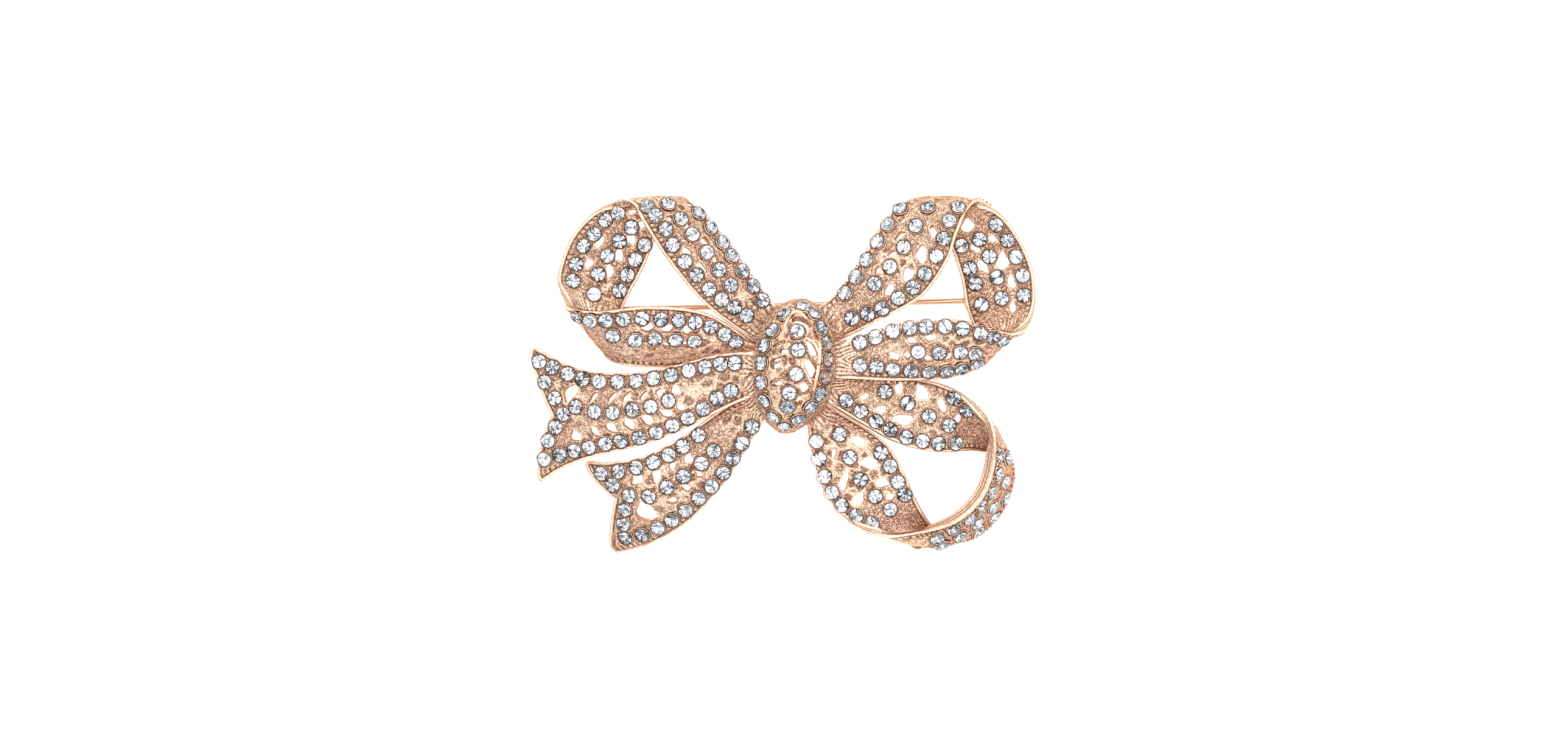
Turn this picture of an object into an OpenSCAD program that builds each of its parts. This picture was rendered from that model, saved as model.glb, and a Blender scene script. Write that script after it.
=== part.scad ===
// Bow brooch of pierced ribbon, lying on its back with its face up.
// +X runs to the wearer's left as the face is looked at from above, +Y runs to the top of the
// bow and +Z comes up out of its face. The origin is on the surface below, under the middle.

/* [Bow] */
// Width of the whole bow, from the upper tail's tip to the right loop
bow_w = 70; // [56:1:86]
// Height of the whole bow, from the loops' tops to the lower tail's tip
bow_h = 49.4; // [40:0.2:60]
// Depth of the whole brooch, from the pin's feet to the top of the knot
bow_d = 15; // [12.4:0.1:18.2]
// Thickness of the pierced ribbon
wall = 1.2; // [0.9:0.05:1.5]

/* [Pin] */
// Diameter of the pin stem
stem_d = 0.72; // [0.6:0.02:0.9]
// Diameter of the hinge's rivet
rivet_d = 0.9; // [0.7:0.02:1.1]
// Running clearance round the rivet, and on each side of the stem's eye
running_gap = 0.05; // [0.03:0.01:0.1]
// Thickness of the hinge's cheeks and of the catch's walls
plate_t = 0.7; // [0.55:0.05:0.9]

/* [Hidden] */
rose_gold = [0.87, 0.62, 0.5];
polished_gold = [0.93, 0.71, 0.6];

// A ribbon is a table with a row for each section across it. Both its edges are placed by
// shares in percent: x of bow_w and y of bow_h from the middle, and z of the depth between
// the lowest and the highest wall. How far the ribbon bulges is a share of that depth too.
// Columns: edge a x, y, z, edge b x, y, z, bulge.
EDGE_A = 0;
EDGE_B = 3;
BULGE = 6;

// Sections made between one row of a table and the next
STEPS = 4;
// Places of the lines along a ribbon, as shares of its width
LANES = [0, 0.25, 0.39, 0.5, 0.61, 0.75, 1];
// Lane that each line of a piercing chart is cut in
PIERCED = [1, 4];

// From the knot out along the lower front strand, up the back strand and down to the knot.
// Edge a is the strands' side at the opening, and the outside of the back strand.
LEFT_LOOP = [
    [ -5.2,   8.0, 58,   -5.2,   4.4, 45,  0.5],
    [-15.5,  16.2, 69,  -14.9,   3.0, 45,  4.5],
    [-26.3,  18.4, 74,  -24.5,   2.4, 45,  8.0],
    [-36.0,  17.6, 74,  -32.0,   3.2, 45,  8.5],
    [-41.3,  18.6, 69,  -35.5,   6.4, 37,  7.0],
    [-43.2,  20.6, 58,  -34.2,  11.6, 35,  4.5],
    [-44.4,  27.0, 49,  -30.6,  21.2, 40,  2.0],
    [-41.8,  38.0, 48,  -27.1,  30.2, 40,  2.0],
    [-37.0,  45.8, 49,  -24.5,  41.0, 37,  2.0],
    [-32.0,  47.7, 55,  -23.6,  46.6, 36,  3.0],
    [-29.3,  46.3, 67,  -20.3,  47.9, 45,  6.0],
    [-27.8,  42.6, 74,  -17.1,  46.8, 51,  8.0],
    [-23.0,  32.3, 76,  -11.3,  38.1, 53,  8.0],
    [-15.2,  19.5, 67,   -5.1,  25.5, 55,  6.0],
    [ -4.6,   8.9, 55,    0.0,  16.4, 55,  1.5]
];

// From the knot up the front strand, down the back strand and back along the lower one
RIGHT_LOOP = [
    [  9.4,   9.3, 55,    5.6,  17.0, 55,  1.5],
    [ 18.2,  14.4, 66,   11.5,  24.3, 57,  4.5],
    [ 26.9,  21.9, 74,   15.9,  34.7, 59,  6.5],
    [ 32.1,  31.3, 75,   19.8,  43.2, 56,  7.0],
    [ 33.9,  38.6, 73,   23.6,  47.4, 50,  7.0],
    [ 36.0,  45.3, 63,   29.0,  48.5, 37,  6.0],
    [ 38.9,  47.6, 54,   32.0,  45.8, 35,  3.0],
    [ 44.0,  43.6, 49,   33.2,  36.2, 38,  2.0],
    [ 48.6,  33.1, 48,   35.3,  27.0, 40,  2.0],
    [ 49.8,  22.6, 49,   36.5,  19.0, 40,  2.0],
    [ 48.2,  14.6, 55,   38.1,  11.8, 36,  3.5],
    [ 45.4,  11.8, 66,   40.2,   5.2, 36,  6.5],
    [ 40.4,  13.2, 73,   37.4,   1.0, 46,  8.0],
    [ 32.6,  15.8, 74,   30.8,  -1.0, 55,  7.0],
    [ 21.8,  14.4, 71,   21.2,  -1.3, 61,  4.5],
    [ 10.0,   8.3, 66,   10.0,  -0.6, 65,  1.5]
];

// From the knot down the left strand, round the end that stands on edge and back to the knot.
// Edge a is the side at the opening and, round the end, the edge at the back.
LOWER_LOOP = [
    [  7.4,  -8.4, 45,    3.5, -12.5, 51,  0.5],
    [ 19.4, -18.4, 47,    5.3, -20.9, 55,  2.0],
    [ 23.7, -27.9, 47,    8.6, -33.6, 53,  3.0],
    [ 26.4, -35.5, 42,   14.4, -41.7, 53,  6.5],
    [ 30.0, -43.0, 28,   21.1, -44.8, 53, 10.0],
    [ 34.1, -45.6, 12,   27.6, -43.4, 53, 10.0],
    [ 38.8, -44.0,  1,   34.1, -40.0, 54,  6.5],
    [ 43.0, -37.6, -3,   38.8, -33.2, 55,  4.5],
    [ 44.8, -28.2, -2,   40.8, -23.4, 55,  4.5],
    [ 42.4, -23.1, 10,   40.3, -14.9, 57,  6.0],
    [ 37.4, -21.7, 27,   37.7,  -8.9, 57,  6.0],
    [ 30.2, -21.9, 45,   33.0,  -3.7, 56,  3.5],
    [ 22.4, -19.8, 54,   26.0,  -1.1, 48,  3.0],
    [ 14.6, -13.0, 56,   18.2,  -0.4, 48,  2.0],
    [  7.6,  -6.9, 56,    9.3,  -0.9, 50,  0.5]
];

// From the knot to the notched end. Edge a is the top one.
UPPER_TAIL = [
    [ -4.6,   6.4, 66,   -4.4,  -4.7, 65,  1.5],
    [-13.1,   5.2, 64,  -11.2,  -8.8, 63,  3.0],
    [-22.7,   1.8, 58,  -19.7, -15.2, 57,  4.5],
    [-29.9,   0.3, 49,  -28.0, -19.8, 47,  6.0],
    [-38.1,   0.3, 38,  -37.3, -22.9, 36,  6.0],
    [-44.3,   3.4, 31,  -43.7, -26.2, 28,  4.5],
    [-49.8,   7.2, 25,  -48.3, -29.6, 21,  3.0]
];

// From the knot to the notched end, which droops to the surface
LOWER_TAIL = [
    [ -5.8,  -4.3, 51,   -3.2, -13.2, 53,  1.5],
    [-13.1, -10.8, 50,   -5.8, -19.4, 51,  3.0],
    [-20.3, -17.2, 47,  -11.7, -30.4, 43,  4.5],
    [-27.5, -22.8, 40,  -19.1, -40.5, 32,  6.0],
    [-34.1, -24.8, 30,  -26.3, -46.7, 16,  6.0],
    [-39.1, -24.3, 22,  -33.7, -49.4,  0,  3.5]
];

// From the top of the knot to its foot. Edge a is the left one.
KNOT = [
    [  0.9,  19.4, 57,    4.5,  20.0, 57,  2.0],
    [ -3.2,  15.8, 68,    7.4,  17.1, 68, 11.0],
    [ -5.5,  10.0, 75,    9.7,  11.0, 75, 20.5],
    [ -6.6,   2.5, 77,   10.3,   3.2, 77, 23.0],
    [ -6.2,  -5.2, 75,    9.4,  -4.3, 75, 21.0],
    [ -4.2, -11.5, 66,    6.8, -10.5, 66, 12.5],
    [ -1.0, -15.4, 55,    1.9, -15.2, 55,  3.0]
];

// Notches of the tails' ends: how far each reaches in, counted in rows of its table, and
// where its middle is across the width
UPPER_NOTCH = [0.72, 0.5];
LOWER_NOTCH = [0.72, 0.4];
NO_NOTCH = [0, 0.5];
// Above 1, a notch's sides are hollow curves
NOTCH_CURVE = 1.5;

// Piercing charts. Each letter is one section along the ribbon, from its table's first row,
// and an o is an opening through it. The first line is the lane beside edge a.
LEFT_PIERCING = [
    ".....o.o.o................o.o..o.............o.o.o..o...",
    ".....o.o.o................o.o.o..o............o..o......"
];
RIGHT_PIERCING = [
    "......o.o..o..o..........o...o.o..o..o...............oo..o..",
    ".......o.o.o.o............o..o.o...................o.o.o...."
];
LOWER_PIERCING = [
    "...o..o.o.o....................................oo.o.o...",
    "....o..o.o................................o.o.o..o......"
];
UPPER_TAIL_PIERCING = [
    "........o.o.o.o.o.o.o...",
    "........o.o.o.oo.o..o..."
];
LOWER_TAIL_PIERCING = [
    ".........o.o.o.o....",
    ".........o.o.o.ooo.."
];
KNOT_PIERCING = [
    ".........o.o..o.........",
    "......o..oo.oo.o........"
];

// Middle of the hinge's rivet and of the catch, as shares in percent of bow_w and bow_h
HINGE_X = 37;
HINGE_Y = 20.6;
CATCH_X = -34;
// Heights of the hinge's pad and of the catch's top, as shares of bow_d
PAD_Z = 35;
CATCH_Z = 33;
// How far the stem turns away from the bow's width, in degrees
STEM_SLOPE = 1.4;
pad_z = bow_d * PAD_Z / 100;
catch_z = bow_d * CATCH_Z / 100;
hinge_x = bow_w * HINGE_X / 100;
hinge_y = bow_h * HINGE_Y / 100;
catch_l = 3;
// Distance along the stem from the rivet to the catch's middle, to where the stem begins to
// taper just before it, and to the point
catch_run = bow_w * (HINGE_X - CATCH_X) / 100;
taper_run = catch_run - catch_l / 2 - 0.2;
stem_run = catch_run + 3 * stem_d;
eye_r = rivet_d / 2 + 0.55;
eye_t = stem_d + 0.3;
// Room under the eye, and the height of the stem's middle that it gives
foot_room = 0.11;
stem_z = eye_r + foot_room;
knuckle_w = eye_t + 2 * (running_gap + plate_t);
// Room over the eye for the stem to swing
eye_room = 0.25;
// Gap between the closed stem and the catch's walls
catch_gap = 0.12;
pad_t = 0.6;
pad_l = 4.2;

// Point between two others at a share of the way
function blend(from, to, share) = from + (to - from) * share;
function unit(vector) = vector / norm(vector);

// Row of a table, going on straight past its ends
function row_at(rows, i) =
    i < 0 ? 2 * rows[0] - rows[1]
    : i > len(rows) - 1 ? 2 * rows[len(rows) - 1] - rows[len(rows) - 2]
    : rows[i];

// Smooth curve through four values in a row, between the second and the third
function smooth_step(a, b, c, d, t) =
    b + 0.5 * t * (c - a + t * (2 * a - 5 * b + 4 * c - d + t * (3 * (b - c) + d - a)));

// Section of a table at a place counted in rows
function section(rows, t) =
    let (i = min(floor(t), len(rows) - 2))
    smooth_step(row_at(rows, i - 1), row_at(rows, i), row_at(rows, i + 1), row_at(rows, i + 2), t - i);

// Place in mm of one edge of a section
function edge(row, first) = [
    row[first] * bow_w / 100,
    row[first + 1] * bow_h / 100,
    wall / 2 + row[first + 2] * (bow_d - wall) / 100
];

// Point across a section, without its bulge
function flat_point(rows, t, lane) =
    let (row = section(rows, t))
    blend(edge(row, EDGE_A), edge(row, EDGE_B), lane);

// Point on the ribbon's middle surface
function ribbon_point(rows, t, lane) =
    let (
        small = 0.05,
        run = flat_point(rows, t + small, lane) - flat_point(rows, t - small, lane),
        across = flat_point(rows, t, 1) - flat_point(rows, t, 0),
        rise = section(rows, t)[BULGE] * (bow_d - wall) / 100 * 4 * lane * (1 - lane)
    )
    flat_point(rows, t, lane) + rise * unit(cross(run, across));

// How far a notch cuts a lane short, counted in rows
function notch_cut(notch, lane) =
    let (side = lane < notch[1] ? lane / notch[1] : (1 - lane) / (1 - notch[1]))
    notch[0] * pow(side, NOTCH_CURVE);

// Middle surface as lines of points, one line for each section
function ribbon_grid(rows, notch) =
    let (count = STEPS * (len(rows) - 1))
    [for (i = [0 : count]) [for (lane = LANES)
        ribbon_point(rows, i / count * (len(rows) - 1 - notch_cut(notch, lane)), lane)
    ]];

// Direction out of the surface at one point of a grid
function grid_normal(grid, i, j) =
    let (
        run = grid[min(i + 1, len(grid) - 1)][j] - grid[max(i - 1, 0)][j],
        across = grid[i][min(j + 1, len(LANES) - 1)] - grid[i][max(j - 1, 0)]
    )
    unit(cross(run, across));

// Whether a cell of the grid is metal
function is_metal(grid, piercing, i, j) =
    i >= 0 && i < len(grid) - 1 && j >= 0 && j < len(LANES) - 1
    && len([for (k = [0 : 1]) if (PIERCED[k] == j && piercing[k][i] == "o") k]) == 0;

// Two triangles between four corners
function quad(a, b, c, d) = [[a, b, c], [a, c, d]];

// Ribbon of even thickness along a table's sections, open where its chart has an o
module ribbon(rows, piercing, notch = NO_NOTCH) {
    grid = ribbon_grid(rows, notch);
    lines = len(LANES);
    half = len(grid) * lines;
    normals = [for (i = [0 : len(grid) - 1]) [for (j = [0 : lines - 1]) grid_normal(grid, i, j)]];
    points = [
        for (side = [1, -1]) for (i = [0 : len(grid) - 1]) for (j = [0 : lines - 1])
        grid[i][j] + normals[i][j] * side * wall / 2
    ];
    faces = [
        for (i = [0 : len(grid) - 2]) for (j = [0 : lines - 2]) if (is_metal(grid, piercing, i, j))
        let (a = i * lines + j, b = a + lines, c = b + 1, d = a + 1)
        each concat(
            quad(a, d, c, b),
            quad(a + half, b + half, c + half, d + half),
            is_metal(grid, piercing, i, j - 1) ? [] : quad(b, b + half, a + half, a),
            is_metal(grid, piercing, i, j + 1) ? [] : quad(d, d + half, c + half, c),
            is_metal(grid, piercing, i - 1, j) ? [] : quad(a, a + half, d + half, d),
            is_metal(grid, piercing, i + 1, j) ? [] : quad(c, c + half, b + half, b)
        )
    ];
    polyhedron(points, faces, convexity = 10);
}

module left_loop() {
    color(rose_gold) ribbon(LEFT_LOOP, LEFT_PIERCING);
}

module right_loop() {
    color(rose_gold) ribbon(RIGHT_LOOP, RIGHT_PIERCING);
}

module lower_loop() {
    color(rose_gold) ribbon(LOWER_LOOP, LOWER_PIERCING);
}

module upper_tail() {
    color(rose_gold) ribbon(UPPER_TAIL, UPPER_TAIL_PIERCING, UPPER_NOTCH);
}

module lower_tail() {
    color(rose_gold) ribbon(LOWER_TAIL, LOWER_TAIL_PIERCING, LOWER_NOTCH);
}

module knot() {
    color(rose_gold) ribbon(KNOT, KNOT_PIERCING);
}

// Puts a pin part in the hinge's own frame: the rivet's middle is the origin and the stem
// lies along its negative x
module at_hinge() {
    translate([hinge_x, hinge_y, stem_z]) rotate([0, 0, STEM_SLOPE]) children();
}

// Cylinder along y, centred on the origin
module cross_rod(r, l) {
    rotate([90, 0, 0]) cylinder(h = l, r = r, center = true, $fn = 48);
}

// Pad, post and two cheeks that hold the rivet
module pin_hinge() {
    post_foot = eye_r + eye_room;
    post_top = pad_z - stem_z;
    color(polished_gold) at_hinge() difference() {
        union() {
            intersection() {
                cross_rod(stem_z, knuckle_w);
                translate([-eye_r, -knuckle_w / 2, -stem_z]) cube([2 * eye_r, knuckle_w, 2 * stem_z]);
            }
            translate([-eye_r, -knuckle_w / 2, 0]) cube([2 * eye_r, knuckle_w, post_top]);
            translate([-eye_r, -knuckle_w / 2, post_top - pad_t]) cube([pad_l, knuckle_w, pad_t]);
        }
        translate([-2 * eye_r, -eye_t / 2 - running_gap, -2 * stem_z])
            cube([4 * eye_r, eye_t + 2 * running_gap, 2 * stem_z + post_foot]);
        cross_rod(rivet_d / 2, 2 * knuckle_w);
    }
}

// Rivet through both cheeks
module hinge_rivet() {
    color(polished_gold) at_hinge() cross_rod(rivet_d / 2, knuckle_w);
}

// Stem with the eye that turns on the rivet
module pin_stem() {
    color(polished_gold) at_hinge() difference() {
        union() {
            cross_rod(eye_r, eye_t);
            rotate([0, -90, 0]) cylinder(h = taper_run, d = stem_d, $fn = 32);
            translate([-taper_run, 0, 0]) rotate([0, -90, 0])
                cylinder(h = stem_run - taper_run, d1 = stem_d, d2 = stem_d / 5, $fn = 32);
        }
        cross_rod(rivet_d / 2 + running_gap, 2 * eye_t);
    }
}

// Pad and trough, open to the back, that keeps the closed stem
module pin_catch() {
    catch_w = stem_d + 2 * (catch_gap + plate_t);
    trough_top = stem_d / 2 + catch_gap;
    color(polished_gold) at_hinge() translate([-catch_run, 0, 0]) difference() {
        translate([-catch_l / 2, -catch_w / 2, -stem_z]) cube([catch_l, catch_w, catch_z]);
        translate([-catch_l, -stem_d / 2 - catch_gap, -2 * stem_z])
            cube([2 * catch_l, stem_d + 2 * catch_gap, 2 * stem_z + trough_top]);
    }
}

left_loop();
right_loop();
lower_loop();
upper_tail();
lower_tail();
knot();
pin_hinge();
hinge_rivet();
pin_stem();
pin_catch();
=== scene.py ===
"""Bow brooch of pierced, stone-set ribbon that lies on its back with its face up.

Lengths inside the functions are millimetres in the frame's axes: +X along the bow's width, +Y to
its top and +Z up out of its face. They become metres where a mesh is made.
"""
import math

import bpy
import numpy as np
from bpy.props import FloatProperty, FloatVectorProperty, PointerProperty
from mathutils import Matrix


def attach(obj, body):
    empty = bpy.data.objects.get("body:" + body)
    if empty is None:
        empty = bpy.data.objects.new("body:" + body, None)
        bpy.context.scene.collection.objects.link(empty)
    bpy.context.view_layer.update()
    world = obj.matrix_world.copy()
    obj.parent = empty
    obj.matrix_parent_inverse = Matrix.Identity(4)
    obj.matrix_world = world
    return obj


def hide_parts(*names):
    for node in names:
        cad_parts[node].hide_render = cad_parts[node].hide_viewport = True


bl_info = {
    "name": "Bow Brooch",
    "version": (1, 0, 0),
    "blender": (4, 5, 0),
    "location": "View3D > Sidebar > Brooch",
    "description": "Builds a pierced, stone-set bow brooch around its packed frame",
    "category": "Add Mesh",
}

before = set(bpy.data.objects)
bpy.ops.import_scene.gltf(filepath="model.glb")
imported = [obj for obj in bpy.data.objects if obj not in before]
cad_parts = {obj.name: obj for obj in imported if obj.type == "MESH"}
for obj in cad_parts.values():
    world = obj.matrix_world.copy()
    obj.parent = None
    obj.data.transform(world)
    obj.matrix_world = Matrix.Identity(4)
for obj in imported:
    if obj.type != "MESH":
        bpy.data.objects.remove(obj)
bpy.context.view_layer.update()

MM = 0.001

# Sizes in mm that the ribbons' tables are shares of, and the thickness of their wall
BOW_W = 70.0
BOW_H = 49.4
BOW_D = 15.0
WALL = 1.2

# Photograph's size in pixels, the place of the frame's origin in it, and a pixel's size
IMAGE_W = 2576
IMAGE_H = 1229
ORIGIN_PX = (1288.6, 614.5)
PIXEL_MM = 0.08413

# A ribbon's table has a row for each section across it: edge a x, y, z, edge b x, y, z and the
# bulge between them, in percent of the sizes
PERCENT = 100
EDGE_A = 0
EDGE_B = 3
BULGE = 6
LEFT_LOOP_ROWS = np.array([
    [-5.2, 8.0, 58, -5.2, 4.4, 45, 0.5],
    [-15.5, 16.2, 69, -14.9, 3.0, 45, 4.5],
    [-26.3, 18.4, 74, -24.5, 2.4, 45, 8.0],
    [-36.0, 17.6, 74, -32.0, 3.2, 45, 6.5],
    [-41.3, 18.6, 69, -35.0, 6.9, 37, 3.0],
    [-43.0, 20.6, 58, -33.6, 11.8, 35, 2.0],
    [-44.4, 27.0, 49, -30.6, 21.2, 40, 2.0],
    [-41.8, 38.0, 48, -27.1, 30.2, 40, 2.0],
    [-37.0, 45.8, 49, -24.5, 41.0, 37, 2.0],
    [-32.0, 47.7, 55, -23.6, 46.6, 36, 3.0],
    [-29.3, 46.3, 67, -20.3, 47.9, 45, 6.0],
    [-27.8, 42.6, 74, -17.1, 46.8, 51, 8.0],
    [-23.0, 32.3, 76, -11.3, 38.1, 53, 8.0],
    [-15.2, 19.5, 67, -5.1, 25.5, 55, 6.0],
    [-4.6, 8.9, 55, 0.0, 16.4, 55, 1.5],
])
RIGHT_LOOP_ROWS = np.array([
    [9.4, 9.3, 55, 5.6, 17.0, 55, 1.5],
    [18.2, 14.4, 66, 11.5, 24.3, 57, 4.5],
    [26.9, 21.9, 74, 15.9, 34.7, 59, 6.5],
    [32.1, 31.3, 75, 19.8, 43.2, 56, 7.0],
    [33.9, 38.6, 73, 23.6, 47.4, 50, 7.0],
    [36.0, 45.3, 63, 29.0, 48.5, 37, 6.0],
    [38.9, 47.6, 54, 32.0, 45.8, 35, 3.0],
    [44.0, 43.6, 49, 33.2, 36.2, 38, 2.0],
    [48.6, 33.1, 48, 35.3, 27.0, 40, 2.0],
    [49.8, 22.6, 49, 36.5, 19.0, 40, 2.0],
    [48.2, 14.6, 55, 38.1, 11.8, 36, 3.5],
    [45.0, 12.0, 66, 39.6, 5.6, 36, 3.0],
    [40.4, 13.2, 73, 37.0, 1.2, 46, 6.0],
    [32.6, 15.8, 74, 30.8, -1.0, 55, 7.0],
    [21.8, 14.4, 71, 21.2, -1.3, 61, 4.5],
    [10.0, 8.3, 66, 10.0, -0.6, 65, 1.5],
])
LOWER_LOOP_ROWS = np.array([
    [7.4, -8.4, 45, 3.5, -12.5, 51, 0.5],
    [19.4, -18.4, 47, 5.3, -20.9, 55, 2.0],
    [23.7, -27.9, 47, 8.6, -33.6, 53, 3.0],
    [26.4, -35.5, 42, 14.4, -41.7, 53, 6.5],
    [30.0, -43.0, 28, 21.1, -44.8, 53, 10.5],
    [34.1, -45.6, 12, 27.6, -43.4, 53, 10.5],
    [38.8, -44.0, 1, 34.1, -40.0, 54, 4.0],
    [43.0, -37.6, -3, 38.8, -33.2, 55, 2.5],
    [44.8, -28.2, -2, 40.8, -23.4, 55, 4.5],
    [42.4, -23.1, 10, 40.3, -14.9, 57, 6.0],
    [37.4, -21.7, 27, 37.7, -8.9, 57, 6.0],
    [30.2, -21.9, 45, 33.0, -3.7, 56, 3.5],
    [22.4, -19.8, 54, 26.0, -1.1, 48, 3.0],
    [14.6, -13.0, 56, 18.2, -0.4, 48, 2.0],
    [7.6, -6.9, 56, 9.3, -0.9, 50, 0.5],
])
UPPER_TAIL_ROWS = np.array([
    [-4.6, 6.4, 66, -4.4, -4.7, 65, 1.5],
    [-13.1, 5.2, 64, -11.2, -8.8, 63, 3.0],
    [-22.7, 1.8, 58, -19.7, -15.2, 57, 4.5],
    [-29.9, 0.3, 49, -28.0, -19.8, 47, 6.0],
    [-38.1, 0.3, 38, -37.3, -22.9, 36, 6.0],
    [-44.3, 3.4, 31, -43.7, -26.2, 28, 4.5],
    [-49.8, 7.2, 25, -48.3, -29.6, 21, 3.0],
])
LOWER_TAIL_ROWS = np.array([
    [-5.8, -4.3, 51, -3.2, -13.2, 53, 1.5],
    [-13.1, -10.8, 50, -5.8, -19.4, 51, 3.0],
    [-20.3, -17.2, 47, -11.7, -30.4, 43, 4.5],
    [-27.5, -22.8, 40, -19.1, -40.5, 32, 6.0],
    [-34.1, -24.8, 30, -26.3, -46.7, 16, 6.0],
    [-39.1, -24.3, 22, -33.7, -49.4, 0, 3.5],
])
KNOT_ROWS = np.array([
    [0.9, 19.4, 57, 4.5, 20.0, 57, 2.0],
    [-3.2, 15.8, 68, 7.4, 17.1, 68, 11.0],
    [-5.5, 10.0, 75, 9.7, 11.0, 75, 20.5],
    [-6.6, 2.5, 77, 10.3, 3.2, 77, 23.0],
    [-6.2, -5.2, 75, 9.4, -4.3, 75, 21.0],
    [-4.2, -11.5, 66, 6.8, -10.5, 66, 12.5],
    [-1.0, -15.4, 55, 1.9, -15.2, 55, 3.0],
])

# Openings of the piercing: place counted in rows, share across from edge a, half its length and
# half its width in mm, and its turn from the ribbon's run in degrees. Most of these numbers were
# printed by a separate script, which fitted ellipses to the bright gaps in the photograph.
LEFT_LOOP_OPENINGS = [
    (8.33, 0.48, 0.50, 0.32, 30), (7.93, 0.72, 0.44, 0.29, 106), (7.15, 0.33, 0.79, 0.35, 12),
    (7.49, 0.67, 0.65, 0.57, 136), (7.02, 0.62, 0.82, 0.44, 153), (6.56, 0.32, 0.58, 0.46, 17),
    (6.56, 0.60, 0.81, 0.38, 148), (12.01, 0.28, 0.60, 0.38, 21), (12.37, 0.32, 0.80, 0.30, 11),
    (12.31, 0.58, 0.52, 0.30, 169), (13.05, 0.34, 0.47, 0.43, 35), (11.02, 0.63, 0.40, 0.30, 18),
    (11.21, 0.36, 0.34, 0.26, 64), (11.50, 0.52, 0.48, 0.30, 75), (11.94, 0.61, 0.52, 0.38, 22),
    (2.12, 0.29, 0.76, 0.46, 18), (1.74, 0.29, 0.77, 0.50, 10), (1.31, 0.30, 1.04, 0.58, 4),
    (2.12, 0.60, 0.60, 0.27, 146), (1.79, 0.57, 0.57, 0.30, 140), (1.43, 0.55, 0.51, 0.32, 137),
]
RIGHT_LOOP_OPENINGS = [
    (3.30, 0.78, 0.38, 0.36, 0), (2.82, 0.68, 0.73, 0.32, 162), (3.59, 0.32, 0.79, 0.36, 45),
    (2.76, 0.32, 1.10, 0.60, 31), (2.33, 0.64, 0.50, 0.28, 154), (2.18, 0.31, 0.87, 0.61, 22),
    (1.83, 0.66, 0.46, 0.31, 13), (1.67, 0.34, 0.80, 0.52, 21), (6.69, 0.65, 0.87, 0.77, 75),
    (7.31, 0.39, 0.57, 0.40, 128), (7.35, 0.68, 0.63, 0.35, 149), (7.86, 0.69, 0.88, 0.48, 154),
    (7.92, 0.40, 1.05, 0.78, 30), (8.52, 0.35, 0.83, 0.44, 173), (9.29, 0.36, 0.75, 0.39, 179),
    (13.68, 0.34, 0.50, 0.34, 164), (13.34, 0.31, 0.66, 0.35, 4), (13.98, 0.59, 0.70, 0.56, 124),
    (13.73, 0.59, 0.40, 0.30, 26), (13.35, 0.64, 0.60, 0.38, 147), (12.94, 0.62, 0.54, 0.48, 49),
]
LOWER_LOOP_OPENINGS = [
    (12.35, 0.80, 0.69, 0.46, 90), (11.76, 0.81, 0.96, 0.81, 55), (13.08, 0.52, 0.62, 0.28, 135),
    (12.61, 0.39, 0.76, 0.43, 134), (12.05, 0.37, 1.35, 0.63, 163), (11.16, 0.69, 0.94, 0.45, 54),
    (10.59, 0.56, 0.65, 0.43, 56), (0.93, 0.31, 0.91, 0.50, 154), (1.18, 0.73, 0.69, 0.24, 36),
    (1.53, 0.35, 1.16, 0.59, 125), (1.81, 0.74, 1.26, 0.48, 41), (2.09, 0.31, 0.80, 0.53, 123),
    (2.34, 0.70, 0.97, 0.61, 78), (2.57, 0.32, 0.54, 0.44, 148),
]
UPPER_TAIL_OPENINGS = [
    (4.62, 0.27, 1.26, 0.72, 65), (3.92, 0.29, 0.79, 0.26, 48), (3.49, 0.30, 0.66, 0.26, 39),
    (3.17, 0.32, 0.75, 0.35, 40), (2.76, 0.34, 0.64, 0.26, 42), (2.34, 0.35, 0.48, 0.44, 168),
    (1.96, 0.37, 0.66, 0.56, 107), (4.49, 0.72, 0.76, 0.64, 136), (3.93, 0.71, 0.68, 0.43, 128),
    (3.57, 0.69, 0.82, 0.53, 142), (3.19, 0.68, 0.76, 0.58, 135), (2.77, 0.68, 0.74, 0.61, 137),
    (2.30, 0.67, 0.90, 0.40, 145), (1.95, 0.66, 0.53, 0.39, 144),
]
LOWER_TAIL_OPENINGS = [
    (3.49, 0.25, 0.89, 0.59, 8), (3.01, 0.30, 0.92, 0.59, 46), (2.58, 0.29, 0.52, 0.40, 47),
    (2.22, 0.35, 0.62, 0.54, 28), (3.02, 0.68, 0.68, 0.37, 151), (2.62, 0.65, 0.61, 0.39, 111),
    (2.25, 0.63, 0.38, 0.30, 77), (3.70, 0.66, 1.60, 1.25, 114),
]
KNOT_OPENINGS = [
    (1.70, 0.59, 1.21, 0.72, 67), (2.53, 0.70, 1.15, 0.78, 50), (3.19, 0.68, 1.28, 0.92, 49),
    (2.97, 0.31, 0.79, 0.56, 128), (3.59, 0.31, 0.68, 0.42, 96), (3.78, 0.64, 0.77, 0.51, 49),
    (4.17, 0.57, 0.41, 0.31, 90), (2.37, 0.33, 0.83, 0.24, 119), (2.59, 0.39, 0.66, 0.20, 94),
]

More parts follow.
